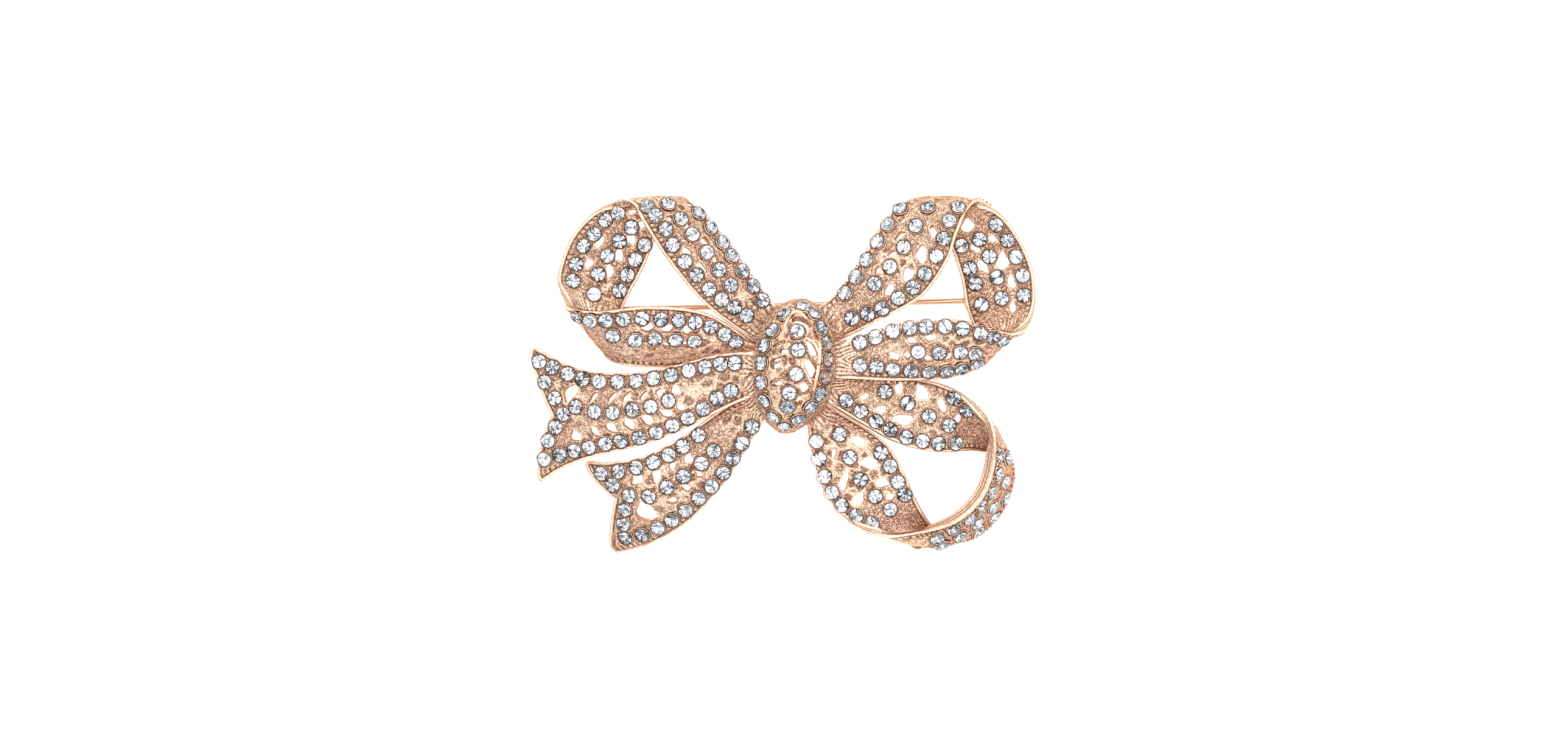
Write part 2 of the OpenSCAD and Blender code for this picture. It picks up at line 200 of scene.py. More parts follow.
# Rows of stones: the ribbon's side, 1 out of the loop or up and -1 into the loop, and each
# stone's place counted in table rows, its share across from edge a and, for some, how many mm
# higher it is set. The stones' middles were read off the photograph, and most of these numbers
# come from placing those middles on the ribbons. Most of these numbers were printed by a separate
# script, which placed those middles on the ribbons.
LEFT_LOOP_STONES = [
    (-1, [(8.22, 0.24, 0.45), (7.76, 0.21), (7.29, 0.20), (6.91, 0.16), (6.45, 0.16),
          (6.00, 0.18)]),
    (-1, [(7.76, 0.60), (7.33, 0.54), (6.88, 0.49), (6.38, 0.48), (5.81, 0.51)]),
    (-1, [(7.44, 0.87), (7.04, 0.83), (6.59, 0.83), (6.13, 0.83)]),
    (1, [(10.45, 0.17), (10.99, 0.20), (11.43, 0.21), (11.79, 0.17), (12.17, 0.17),
         (12.46, 0.19), (12.76, 0.21), (13.01, 0.25), (13.24, 0.30), (13.48, 0.34)]),
    (1, [(10.75, 0.49), (11.32, 0.50), (11.73, 0.50), (12.16, 0.52), (12.52, 0.52),
         (12.84, 0.53)]),
    (1, [(11.31, 0.83), (11.72, 0.82), (12.09, 0.83), (12.38, 0.83), (12.69, 0.84),
         (13.03, 0.84), (13.39, 0.80)]),
    (1, [(4.02, 0.15), (3.42, 0.16), (2.95, 0.14), (2.57, 0.14), (2.20, 0.14), (1.84, 0.15),
         (1.51, 0.15), (1.21, 0.15), (0.92, 0.16), (0.65, 0.20), (0.43, 0.26)]),
    (1, [(2.89, 0.39), (2.42, 0.47), (2.01, 0.45), (1.61, 0.47), (1.25, 0.48)]),
]
RIGHT_LOOP_STONES = [
    (1, [(3.62, 0.91), (2.89, 0.89), (2.35, 0.885), (1.85, 0.87), (1.40, 0.87), (0.95, 0.84)]),
    (1, [(4.20, 0.61), (3.38, 0.57), (2.63, 0.55), (2.07, 0.55), (1.57, 0.56)]),
    (1, [(4.86, 0.18), (4.24, 0.19), (3.59, 0.16), (2.95, 0.15), (2.43, 0.15), (2.04, 0.15),
         (1.67, 0.17), (1.30, 0.18), (1.01, 0.24), (0.69, 0.33)]),
    (-1, [(7.03, 0.20), (7.49, 0.19), (7.92, 0.19), (8.44, 0.17), (9.00, 0.18)]),
    (-1, [(7.20, 0.56), (7.69, 0.54), (8.30, 0.53), (8.95, 0.51)]),
    (-1, [(7.15, 0.86), (7.82, 0.87), (8.31, 0.85), (9.03, 0.82)]),
    (1, [(14.58, 0.20), (14.32, 0.18), (14.03, 0.15), (13.73, 0.14), (13.44, 0.14), (13.07, 0.14),
         (12.68, 0.14), (12.21, 0.14), (11.80, 0.16), (11.33, 0.20)]),
    (1, [(13.55, 0.52), (13.14, 0.54), (12.65, 0.51), (12.25, 0.51)]),
    (1, [(14.58, 0.70), (14.29, 0.75), (14.00, 0.80), (13.66, 0.83), (13.30, 0.85), (12.91, 0.85),
         (12.53, 0.81), (12.10, 0.73)]),
]
LOWER_LOOP_STONES = [
    (-1, [(13.46, 0.26), (13.03, 0.17), (12.63, 0.14), (12.27, 0.14), (11.86, 0.13), (11.45, 0.13),
          (11.04, 0.13), (10.57, 0.15)]),
    (-1, [(12.66, 0.70), (12.04, 0.61), (11.43, 0.50), (10.84, 0.43)]),
    (-1, [(10.85, 0.88), (10.35, 0.78)]),
    (-1, [(0.83, 0.90), (1.25, 0.95), (1.62, 0.96), (1.99, 0.96), (2.38, 0.96), (2.80, 0.94),
          (3.18, 0.86)]),
    (-1, [(0.73, 0.49), (1.32, 0.56), (1.86, 0.54), (2.40, 0.49), (2.94, 0.43)]),
    (-1, [(1.32, 0.15), (1.70, 0.12), (2.18, 0.12), (2.64, 0.12)]),
    (1, [(8.16, 0.86), (7.65, 0.80), (7.16, 0.82), (6.70, 0.84), (6.20, 0.83), (5.66, 0.83),
         (5.09, 0.77)]),
    (1, [(8.24, 0.57), (7.58, 0.49), (6.87, 0.52), (6.24, 0.57), (5.60, 0.56), (4.98, 0.52),
         (4.24, 0.47)]),
    (1, [(7.27, 0.23), (6.65, 0.24), (6.02, 0.28)]),
]
UPPER_TAIL_STONES = [
    (1, [(5.73, 0.08), (5.24, 0.08), (4.71, 0.09), (4.23, 0.10), (3.77, 0.11), (3.35, 0.12),
         (2.90, 0.13), (2.42, 0.13), (1.98, 0.14), (1.61, 0.15), (1.29, 0.17), (0.97, 0.19),
         (0.65, 0.22)]),
    (1, [(5.53, 0.23), (5.16, 0.35), (4.87, 0.49), (5.16, 0.61), (5.49, 0.72), (5.71, 0.86)]),
    (1, [(5.07, 0.87), (4.57, 0.87), (4.13, 0.87), (3.73, 0.87), (3.41, 0.87), (3.02, 0.88),
         (2.62, 0.88), (2.22, 0.87), (1.86, 0.86), (1.52, 0.83), (1.19, 0.77), (0.85, 0.74)]),
    (1, [(4.44, 0.41), (3.91, 0.47), (3.50, 0.50), (3.07, 0.50), (2.62, 0.51), (2.17, 0.50)]),
]
LOWER_TAIL_STONES = [
    (1, [(3.87, 0.11), (3.34, 0.11), (2.89, 0.13), (2.50, 0.15), (2.13, 0.16), (1.70, 0.16)]),
    (1, [(4.48, 0.12), (4.21, 0.25), (3.88, 0.40), (4.19, 0.55), (4.41, 0.71), (4.54, 0.87)]),
    (1, [(4.09, 0.88), (3.65, 0.88), (3.28, 0.88), (2.91, 0.88), (2.56, 0.87), (2.23, 0.87),
         (1.88, 0.86), (1.54, 0.82), (1.18, 0.78), (0.68, 0.72)]),
    (1, [(3.41, 0.49), (2.94, 0.49), (2.52, 0.50), (2.07, 0.52), (1.70, 0.51)]),
]
KNOT_STONES = [
    (1, [(1.00, 0.65), (1.34, 0.79), (1.86, 0.83), (2.36, 0.86), (2.89, 0.87), (3.49, 0.86),
         (4.00, 0.82), (4.38, 0.73), (4.87, 0.60), (5.20, 0.39), (4.75, 0.23), (4.16, 0.16),
         (3.59, 0.14), (2.96, 0.15), (2.38, 0.16), (1.90, 0.23), (1.33, 0.36)]),
    (1, [(2.01, 0.53), (2.58, 0.54), (3.34, 0.53), (3.89, 0.46), (4.30, 0.44)]),
]

# Ropes of beads laid over the knot: places in rows and shares from one end to the other
KNOT_ROPES = [
    [(2.30, 0.45), (2.40, 0.33), (2.75, 0.22)],
    [(2.78, 0.47), (2.92, 0.36), (3.00, 0.24)],
    [(3.22, 0.44), (3.45, 0.36), (3.68, 0.24)],
    [(1.62, 0.66), (1.95, 0.74), (2.45, 0.80)],
    [(2.42, 0.62), (2.85, 0.68), (3.10, 0.80)],
    [(3.20, 0.60), (3.62, 0.66), (4.05, 0.74)],
]

# Smooth bars laid over the knot, in the same way, their radius and how deep they sink in, in mm
BAR_R = 0.34
BAR_SINK = 0.12
KNOT_BARS = [
    [(2.05, 0.79), (3.00, 0.77), (3.95, 0.73)],
    [(2.20, 0.60), (2.40, 0.72), (2.85, 0.77)],
    [(2.90, 0.60), (3.15, 0.60), (3.70, 0.72)],
    [(1.95, 0.36), (1.25, 0.52), (1.95, 0.74)],
]

# Skirt under the knot: its line's stops, with the row and the share across at each, the length
# of a ripple, how many rows of a ribbon count as its end and at how many places along and across
# they are looked at, how far it leans inwards, its least and greatest depth, how far it overlaps
# the ends, how often its line and its depth are smoothed, its ripples' height and drift, the shade
# painted into their troughs, the polish on their crests, and its profile of distances out in mm
# and shares of its depth, the outer side first
SKIRT_COUNT = 360
SKIRT_STOPS = (0.0, 0.45, 0.5, 0.95, 1.0)
SKIRT_ROWS = (5.8, 0.2, 0.2, 5.8, 5.8)
SKIRT_SHARES = (0.10, 0.10, 0.90, 0.90, 0.10)
SKIRT_RIPPLE = 0.85
SKIRT_OUTER = 7
SKIRT_REACH, SKIRT_LOOKS = 0.8, (9, 15)
SKIRT_LEAN = 0.4
SKIRT_DEPTHS = (1.8, 5.5)
SKIRT_OVERLAP = 0.5
SKIRT_SOFTENING = (6, 60)
SKIRT_RIPPLE_H, SKIRT_DRIFT, SKIRT_NOISE = 0.09, 0.8, 1.6
SKIRT_TROUGH_SHADE, SKIRT_TROUGH_SHADE_AT = 0.8, (0.2, 0.9)
SKIRT_POLISH, SKIRT_POLISH_AT = 0.6, (0.0, 0.8)
SKIRT_PROFILE = np.array([
    [0.30, -0.09], [0.34, 0.08], [0.32, 0.24], [0.26, 0.43], [0.16, 0.62], [0.02, 0.81],
    [-0.16, 1.0], [-0.70, 1.0], [-0.55, 0.62], [-0.50, 0.24], [-0.50, -0.09]])

# Rows of small beads along borders: ribbon, share across, first and last row, side of the wall
# (0 is its middle) and how far in from the border in mm
EDGE_BEADS = [
    ("lower_loop", 0.0, 4.5, 5.4, 0, -0.05), ("lower_loop", 0.0, 6.0, 8.9, 0, -0.05),
    ("lower_loop", 1.0, 4.4, 8.6, 1, 0.75), ("lower_loop", 0.0, 5.2, 8.6, 1, 0.60),
    ("left_loop", 0.0, 8.6, 10.2, 0, -0.05),
    ("right_loop", 1.0, 4.8, 7.4, 0, -0.05), ("right_loop", 0.0, 4.6, 6.4, 1, 0.35),
    ("right_loop", 0.0, 10.2, 12.6, 1, 0.45), ("left_loop", 0.0, 3.6, 4.8, 1, 0.40),
]

# How far each tail's notch reaches in and how far its tips reach past the last row, both counted
# in rows, and where the notch's middle is across
NO_NOTCH = (0.0, 0.0, 0.5)
UPPER_TAIL_NOTCH = (0.80, 0.12, 0.5)
LOWER_TAIL_NOTCH = (0.75, 0.10, 0.4)
NOTCH_CURVE = 1.5
# How far in rows a tail's tip is rounded off, and over which share of the way to its notch
TIP_ROUND = 0.17
TIP_SHARE = 0.16

# Places, counted in rows, at which each ribbon turns over and is gathered, besides its ends
LEFT_LOOP_FOLDS = (5.2, 9.8)
RIGHT_LOOP_FOLDS = (6.0, 10.2)
LOWER_LOOP_FOLDS = (4.0, 9.2)
NO_FOLDS = ()

# How far in mm each ribbon's borders, a and b, are cut back from the solid's at each row. Below 0
# they stand out, most of all where two ribbons run together at the knot.
LEFT_LOOP_TRIMS = (
    (-0.3, -0.4, -0.2, 0, 0, -0.1, -0.25, -0.2, 0.05, 0, 0, 0, -0.05, -0.05, -0.3),
    (0, 0.15, 0.25, 0.35, 0.3, 0.2, 0.3, 0.4, 0.2, 0, 0.7, 0.9, 0.85, 0.6, 0.1),
)
RIGHT_LOOP_TRIMS = (
    (-0.35, 0.25, -0.1, 0.1, 0.1, 0, 0, 0.3, 0.35, 0.2, -0.2, 0, 0.1, 0.3, 1.0, -0.2),
    (0.05, 0.05, 0.5, 0.35, 0.1, 0.05, 0, -0.15, -0.25, -0.4, -0.2, 0.3, 0.85, 0.2, -0.05, -0.1),
)
LOWER_LOOP_TRIMS = (
    (-0.3, 0.15, 0, 0.15, 0.25, 0.05, 0.4, 0.3, 0, 0, 0.15, 0.05, 0.25, -0.25, -0.3),
    (0.6, 0, -0.3, -0.65, -0.25, 0, 0, 0, 0, 0, 0, 0.1, 0, -0.05, -0.1),
)
UPPER_TAIL_TRIMS = ((0, 0, 0, 0.2, -0.1, 0, -0.3), (-0.15, -0.1, 0.1, 0.15, 0.1, 0, -0.4))
LOWER_TAIL_TRIMS = ((-0.15, -0.1, 0.3, 0.15, 0, 0), (0.7, 0.75, 0.15, -0.2, -0.12, -0.3))
KNOT_TRIMS = ((0.2, 0.4, 0.55, 0.6, 0.5, 0.3, 0.1), (0.2, 0.3, 0.45, 0.5, 0.45, 0.3, 0.1))

# Flange along the top of the lower loop's end: first and last row, and its height in mm
LOWER_LOOP_FLANGE = (4.7, 8.7, 0.75)
NO_FLANGE = (0.0, 0.0, 0.0)

RIBBONS = {
    "left_loop": (
        LEFT_LOOP_ROWS, LEFT_LOOP_OPENINGS, LEFT_LOOP_STONES, NO_NOTCH, LEFT_LOOP_FOLDS,
        LEFT_LOOP_TRIMS, NO_FLANGE),
    "right_loop": (
        RIGHT_LOOP_ROWS, RIGHT_LOOP_OPENINGS, RIGHT_LOOP_STONES, NO_NOTCH, RIGHT_LOOP_FOLDS,
        RIGHT_LOOP_TRIMS, NO_FLANGE),
    "lower_loop": (
        LOWER_LOOP_ROWS, LOWER_LOOP_OPENINGS, LOWER_LOOP_STONES, NO_NOTCH, LOWER_LOOP_FOLDS,
        LOWER_LOOP_TRIMS, LOWER_LOOP_FLANGE),
    "upper_tail": (
        UPPER_TAIL_ROWS, UPPER_TAIL_OPENINGS, UPPER_TAIL_STONES, UPPER_TAIL_NOTCH, NO_FOLDS,
        UPPER_TAIL_TRIMS, NO_FLANGE),
    "lower_tail": (
        LOWER_TAIL_ROWS, LOWER_TAIL_OPENINGS, LOWER_TAIL_STONES, LOWER_TAIL_NOTCH, NO_FOLDS,
        LOWER_TAIL_TRIMS, NO_FLANGE),
    "knot": (KNOT_ROWS, KNOT_OPENINGS, KNOT_STONES, NO_NOTCH, NO_FOLDS, KNOT_TRIMS, NO_FLANGE),
}

# Distances in from a border at which a ribbon's mesh has a line, so that its rim comes out round
RIM_LINES = np.array([0, 0.06, 0.14, 0.22, 0.30, 0.38, 0.46, 0.56, 0.68])
# How far the border's side stands out at each step from the face to the back, with two fine
# lines sunk along it, how much shade is painted into those lines and how polished the side and
# those lines are
SIDE_STEPS = np.array([0.02, 0.04, 0.0, 0.05, 0.0, 0.04, 0.02])
SIDE_LINE_SHADE = 0.7
SIDE_POLISH = 0.75
SIDE_LINE_POLISH = 0.2

# Steps that directions on a ribbon are measured over: in rows for its bulge, and in rows and in
# shares across for its surface
BULGE_STEP = 0.05
RUN_STEP = 0.02
ACROSS_STEP = 0.01
# Steps for each row of a table in which the length of a ribbon is added up
LENGTH_STEPS = 60
# Numbers that scatter the lattice's values, how far their high bits are mixed down, and the bits
# that are kept
SCATTER = (374761393, 668265263, 2147483629, 1274126177)
SCATTER_AGAIN = (1103515245, 12345, 2654435761)
MIX_BITS = (13, 16, 15)
LOW_BITS = 0xFFFF
ALL_BITS = 0xFFFFFFFF
# Difference in distance over which a ridge between two scattered seeds falls off
RIDGE_FALL = (0.02, 0.30)
# Seeds of the noises: grain, veins and their patches, gathers, teeth and theirs, streaks, skirt
GRAIN_SEED, VEIN_SEED, WEB_SEED, GATHER_SEED = 11, 21, 22, 31
TOOTH_SEED, TEETH_SEED, STREAK_SEED, SKIRT_SEED = 41, 42, 51, 61

# Openings: the value of their field where none is near, how far round one it is worked out, and
# how their radius swells, as a share of it, a number of waves and each opening's own shift
FAR_FIELD = 3.0
FIELD_REACH = 3
OPENING_SWELLS = ((0.10, 3, 1.0), (0.06, 4, 2.3))
# Metal kept round a stone's place and along a border, the least square of a field's slope, and
# how far a point is moved to a rim, in cells
SEAT_ROOM = 0.14
BORDER_KEPT = 0.8
LEAST_SLOPE = 1e-6
MOST_MOVE = 0.6

# Relief of a ribbon's face in mm: places counted in from the rim, half widths, and heights
FACING = (-0.15, 0.15)
RIM_FOOT = -0.10
RIM_RISE = 0.16
RIM_HALF = 0.58
GROOVE_AT, GROOVE_HALF, GROOVE_SINK = 0.09, 0.11, 0.12
GROUND_AT = (0.04, 0.16)
GROUND_SINK = 0.12
TEETH_AT, TEETH_HALF, TEETH_RISE = 0.40, 0.30, 0.12
TOOTH_PITCH, TOOTH_DRIFT, TOOTH_NOISE = 0.8, 0.4, 1.3
TEETH_PATCH, TEETH_PATCH_AT = 2.0, (-0.7, 0.1)
TOOTH_AT = (0.35, 0.65)
PIT_AT, PIT_SINK = (0.42, 0.16), 0.10
GRAIN_SIZE, STREAK_SIZE, STREAK_LONG, GRAIN_SHARE, GRAIN_RISE = 0.24, 0.3, 6, 0.65, 0.075
WEB_AT, WEB_PATCH, WEB_PATCH_AT, WEB_SINK = (1.2, 2.2), 5.0, (-0.35, 0.25), 0.06
VEIN_SIZE, VEIN_RISE = 1.5, 0.16
GATHERS_AT, GATHER_PITCH, GATHER_NOISE, GATHER_DRIFT = (1.5, 4.0), 0.55, 1.9, 1.5
GATHER_RISE, GATHER_TOP = 0.07, (-0.6, 0.5)
LIP_AT, LIP_HALF, LIP_RISE = 0.12, 0.15, 0.10
BACK_SLOPE, BACK_SINK = 1.3, 0.55
LOW_AT = (0.03, 0.08)
CUP_FOOT, CUP_SINK, CUP_EDGE, CUP_ROOM = -0.22, 0.62, (0.02, 0.16), 0.5
CUP_REACH = 1.5
# Shares of painted shade and of polish of the parts of the relief, and how much less shade is
# painted on a lip
SHADE_GROOVE, SHADE_PIT, SHADE_LOW, SHADE_LOW_AT_FOLD, DARK_LIP = 0.8, 0.9, 0.7, 0.45, 0.7
POLISH_RIM, POLISH_LIP, POLISH_TOOTH, POLISH_VEIN, POLISH_GATHER = 0.8, 0.35, 0.5, 0.6, 0.8
# Distances from a ribbon's ends over which its rim rises, how much nearer a notched end counts,
# how far a fold counts as from its gathers, and how far the knot counts as from any
RIMMED_AT = (0.8, 3.0)
NOTCHED_END = 0.85
FOLD_AWAY = 1.0
KNOT_AWAY = 9
# How a flange ends, in rows, and where it falls off, in mm from the border
FLANGE_END = 0.6
FLANGE_AT = (0.25, 0.7)

# How far in mm round a stone's place its seat is measured
SEAT_REACH = 0.9
# Cut of a stone of radius one: its table's sides, radius and height of its table, its stars'
# points, its girdle and the pavilion's low points, and the height of its tip
CUT_SIDES = 8
TABLE_RING, STAR_RING = (0.56, 0.33), (0.80, 0.19)
GIRDLE_RING, LOW_RING = (1.0, 0.0), (0.36, -0.56)
TIP_H = -0.86
# Share of its nominal size that a stone has, and how far it leans by chance
STONE_SHARE = 0.95
STONE_LEAN = 0.035
# Seeds of the first ribbon's stones and collars; each next ribbon has the next one
STONE_SEED = 100
COLLAR_SEED = 200
# Rings of a collar: radius and height in stone radii, how much shade is painted there, most next
# to the stone and at the collar's foot, and how polished it is there
COLLAR_RINGS = np.array([
    [0.99, -0.30, 1.0, 0.0], [1.02, -0.08, 0.9, 0.0], [1.07, -0.03, 0.15, 0.7],
    [1.14, -0.30, 0.6, 0.1]])
COLLAR_SIDES = 16
COLLAR_CREST = 2
COLLAR_SWING = (-0.10, 0.08)

# Beads: points round one, how far aside from a row of stones they sit, the widest gap between
# two stones that has one, the room to any stone and to an opening, and how deep they sink in
BEAD_SIDES = 8
BEAD_ASIDE = 0.72
BEAD_GAP = 3.3
BEAD_CLEAR = 1.12
BEAD_METAL = 0.2
BEAD_SINK = 0.06
# Beads along a border and in a rope: radius in bead radii, distance in their own radii, and how
# far they sink in or stand out
EDGE_BEAD_R, EDGE_BEAD_STEP, EDGE_BEAD_SINK = 1.15, 2.5, 0.05
ROPE_BEAD_R, ROPE_BEAD_STEP, ROPE_BEAD_RISE = 1.1, 1.75, 0.08
# A direction that no bead faces, for turning all of them alike
BEAD_ASKEW = np.array([0.3, 0.7, 0.1])
# Points along a border and along a rope's curve over the knot
BORDER_COUNT = 200
ROPE_COUNT = 41
# Bars on the knot: rings along one, points round a ring, the power of the sine that rounds its
# ends, the radius they close to in mm, and its polish
BAR_COUNT, BAR_SIDES, BAR_POWER, BAR_END_R, BAR_POLISH = 21, 8, 0.25, 0.001, 0.8

# Grain of the casting: scales of its fine, coarse and cloudy noise a metre, how sharp its creases
# and pits are, the fine noise's value below which it is pitted, and how deep a crease is
GRAIN_FINE, GRAIN_COARSE, GRAIN_CLOUD, GRAIN_ROUGH = 5200, 2100, 700, 0.6
CREASE_SHARP, PIT_BELOW, PIT_SHARP, CREASE_DEPTH = 13.0, 0.43, 9.0, 0.35
# Wear of polished metal: its lines' scale, how they are squeezed across the pin, and the scale of
# its patches
WEAR_LINES, WEAR_SQUEEZE, WEAR_PATCHES = 1500, (1.0, 5.0, 1.0), 350
# How much shade is painted into the grain's creases and pits, how bright the duller patches of
# gold are, the tint of gold seen edge on and the blend of the shade painted on it edge on
CREASE_SHADE = 0.72
DULLER = 0.8
EDGE_TINT, EDGE_BLEND = (0.6, 0.35, 0.22, 1.0), 0.3
# Cast and polished gold: how steeply the shade painted on them edge on rises, their roughness and
# what the grain or the wear adds to it, the height of that in metres, and its share where the
# casting is polished
CAST_EDGE_POWER, CAST_ROUGH, CAST_GRAIN_ROUGH, CAST_GRAIN_H = 3.0, 0.15, 0.06, 0.00016
POLISHED_GRAIN = 0.15
PIN_EDGE_POWER, PIN_ROUGH, PIN_WEAR_ROUGH = 1.2, 0.12, 0.14
PIN_WEAR_H, PIN_WEAR_BUMP = 0.00001, 0.5
# Crystal's refraction, and the scale and roughness of its smears
CRYSTAL_IOR, SMEAR_SCALE, SMEAR_ROUGH = 1.56, 900, 0.03
# Foil with painted reflections: how sharp the dark lines painted between facets are, the shares of
# black and of grey facets, how dark the grey ones are, where the painted shade round its edge
# starts and how sharp it is, and its darkest colour
FACET_LINE, FACETS_BLACK, FACETS_GREY, FACET_GREY = 20.0, 0.13, 0.40, 0.45
FOIL_EDGE_AT, FOIL_EDGE_SHARP, FOIL_ROUGH = 0.86, 8.0, 0.08
FOIL_REFLECTION_DARK = (0.06, 0.063, 0.075)

# Stage: half the floor's width in mm, its tone's scale and least brightness, its finish and its
# own light, and the light all round
FLOOR_HALF = 3000.0
FLOOR_TONE, FLOOR_DARKER = 30, 0.985
FLOOR_ROUGH, FLOOR_SPECULAR, FLOOR_GLOW = 0.9, 0.1, 0.72
WHITE = (1.0, 1.0, 1.0)
SKY, SKY_POWER = (0.9, 0.95, 1.0, 1.0), 0.72
# Studio lights, which face the brooch: name, place and size in metres, power and colour
LIGHTS = (
    ("over_light", (0.05, 0.05, 1.2), (1.1, 1.1), 5.8, WHITE),
    ("key_light", (-0.6, 0.5, 0.75), (0.45, 0.45), 4.2, (1.0, 0.98, 0.95)),
    ("fill_light", (0.8, 0.15, 0.6), (0.3, 0.6), 3.0, WHITE),
    ("low_light", (0.1, -0.8, 0.6), (0.8, 0.25), 3.0, WHITE),
    ("back_light", (0.3, 0.8, 0.45), (0.5, 0.2), 2.0, WHITE),
)
# Camera: its height in metres over the plane at which a pixel has its size, that plane's height,
# its sensor in mm and how far it sees
CAMERA_H, PLANE_H = 1.5, 0.007
SENSOR_W, CAMERA_FAR = 36.0, 10.0


class BroochSizes(bpy.types.PropertyGroup):
    """Sizes of the brooch's finish"""
    mesh_pitch: FloatProperty(
        name="Mesh pitch", description="Distance between the points of a ribbon's mesh",
        default=0.00016, min=0.0001, max=0.001, precision=5, unit="LENGTH")
    stone_d: FloatProperty(
        name="Stone diameter", description="Diameter of each round stone",
        default=0.00208, min=0.0015, max=0.0025, precision=5, unit="LENGTH")
    stone_lift: FloatProperty(
        name="Stone lift", description="Height of a stone's girdle over the ribbon's face",
        default=0.00012, min=0.0, max=0.0005, precision=5, unit="LENGTH")
    rim_w: FloatProperty(
        name="Rim width", description="Width of the polished rim along a ribbon's borders",
        default=0.00038, min=0.0002, max=0.001, precision=5, unit="LENGTH")
    opening_room: FloatProperty(
        name="Opening room", description="How much wider each opening is cut than its table says",
        default=0.0001, min=0.0, max=0.0003, precision=5, unit="LENGTH")
    bead_d: FloatProperty(
        name="Bead diameter", description="Diameter of the beads between the stones",
        default=0.00044, min=0.0002, max=0.0008, precision=5, unit="LENGTH")
    grain: FloatProperty(
        name="Grain", description="How strongly the cast ground between the stones is grained",
        default=1.0, min=0.0, max=2.0, subtype="FACTOR")


class BroochColours(bpy.types.PropertyGroup):
    """Colours of the brooch and its stage"""
    gold: FloatVectorProperty(
        name="Rose gold", description="Colour of the cast, plated metal",
        default=(0.93, 0.625, 0.455), min=0.0, max=1.0, size=3, subtype="COLOR")
    polished: FloatVectorProperty(
        name="Polished rose gold", description="Colour of the polished rims and the pin",
        default=(0.95, 0.655, 0.485), min=0.0, max=1.0, size=3, subtype="COLOR")
    # Colour of the shade painted into grooves, pits, stone seats, creases and low spots, and onto
    # metal seen edge on
    recess_shade: FloatVectorProperty(
        name="Recesses", description="Colour of the darkened grooves and pits",
        default=(0.17, 0.07, 0.036), min=0.0, max=1.0, size=3, subtype="COLOR")
    foil: FloatVectorProperty(
        name="Foil", description="Colour of the foil behind the stones",
        default=(0.97, 0.975, 0.985), min=0.0, max=1.0, size=3, subtype="COLOR")
    floor: FloatVectorProperty(
        name="Floor", description="Colour of the pale floor",
        default=(0.90, 0.90, 0.90), min=0.0, max=1.0, size=3, subtype="COLOR")


def row_sections(rows, t):
    """Sections of a table at places counted in rows: a smooth curve through four rows in turn,
    with the table carried on straight past both its ends."""
    ends = np.vstack([
        2 * rows[0] - rows[1], rows, 2 * rows[-1] - rows[-2], 3 * rows[-1] - 2 * rows[-2]])
    i = np.clip(np.floor(t).astype(int), 0, len(rows) - 2)
    a, b, c, d = (ends[i + k] for k in range(4))
    u = (t - i)[..., None]
    return b + 0.5 * u * (c - a + u * (2 * a - 5 * b + 4 * c - d + u * (3 * (b - c) + d - a)))


def edge_points(sections, first):
    """Places in mm of one edge of some sections, from their shares of the three sizes."""
    return np.stack([
        sections[..., first] * BOW_W / PERCENT,
        sections[..., first + 1] * BOW_H / PERCENT,
        WALL / 2 + sections[..., first + 2] * (BOW_D - WALL) / PERCENT,
    ], -1)


def unit(vectors):
    """Vectors brought to length one."""
    return vectors / np.maximum(np.linalg.norm(vectors, axis=-1, keepdims=True), 1e-9)


def flat_points(rows, t, v):
    """Points on the straight line across each section, at a share from edge a to edge b."""
    s = row_sections(rows, t)
    a, b = edge_points(s, EDGE_A), edge_points(s, EDGE_B)
    return a + (b - a) * v[..., None]


def middle_points(rows, t, v):
    """Ribbon's middle surface: the line across, raised along its normal by bulge * 4v(1 - v)."""
    run = flat_points(rows, t + BULGE_STEP, v) - flat_points(rows, t - BULGE_STEP, v)
    s = row_sections(rows, t)
    across = edge_points(s, EDGE_B) - edge_points(s, EDGE_A)
    rise = s[..., BULGE] * (BOW_D - WALL) / PERCENT * 4 * v * (1 - v)
    return flat_points(rows, t, v) + rise[..., None] * unit(np.cross(run, across))


def surface_frames(rows, t, v):
    """Points of the middle surface with the directions along the run, across and out of it."""
    run = unit(middle_points(rows, t + RUN_STEP, v) - middle_points(rows, t - RUN_STEP, v))
    across = middle_points(rows, t, v + ACROSS_STEP) - middle_points(rows, t, v - ACROSS_STEP)
    out = unit(np.cross(run, across))
    return middle_points(rows, t, v), run, np.cross(out, run), out


def smooth_rise(low, high, x):
    """0 below low, 1 above high and a smooth S between them."""
    u = np.clip((x - low) / (high - low), 0, 1)
    return u * u * (3 - 2 * u)


def round_top(x, middle, half):
    """Half circle of height 1 over middle - half to middle + half, and 0 outside it."""
    return np.sqrt(np.clip(1 - ((x - middle) / half) ** 2, 0, 1))


def lattice_values(cell, seed):
    """A fixed scattered value from 0 to 1 for each whole-numbered point in space: sums and
    products of its coordinates whose high bits are mixed into the low ones."""
    x, y, z = (cell[..., k].astype(np.int64) & LOW_BITS for k in range(3))
    n = (x * SCATTER[0] + y * SCATTER[1] + z * SCATTER[2] + seed * SCATTER[3]) & ALL_BITS
    n = ((n ^ (n >> MIX_BITS[0])) * SCATTER_AGAIN[0] + SCATTER_AGAIN[1]) & ALL_BITS
    n = ((n ^ (n >> MIX_BITS[1])) * SCATTER_AGAIN[2]) & ALL_BITS
    return (n ^ (n >> MIX_BITS[2])) / float(ALL_BITS)


def soft_noise(points, size, seed):
    """Smooth noise from -1 to 1: lattice values blended over the eight corners of each cell."""
    q = points / size
    cell = np.floor(q)
    f = q - cell
    f = f * f * (3 - 2 * f)
    total = np.zeros(points.shape[:-1])
    for corner in np.ndindex(2, 2, 2):
        weight = np.ones(points.shape[:-1])
        for k in range(3):
            weight = weight * (f[..., k] if corner[k] else 1 - f[..., k])
        total += weight * lattice_values(cell + np.array(corner), seed)
    return 2 * total - 1


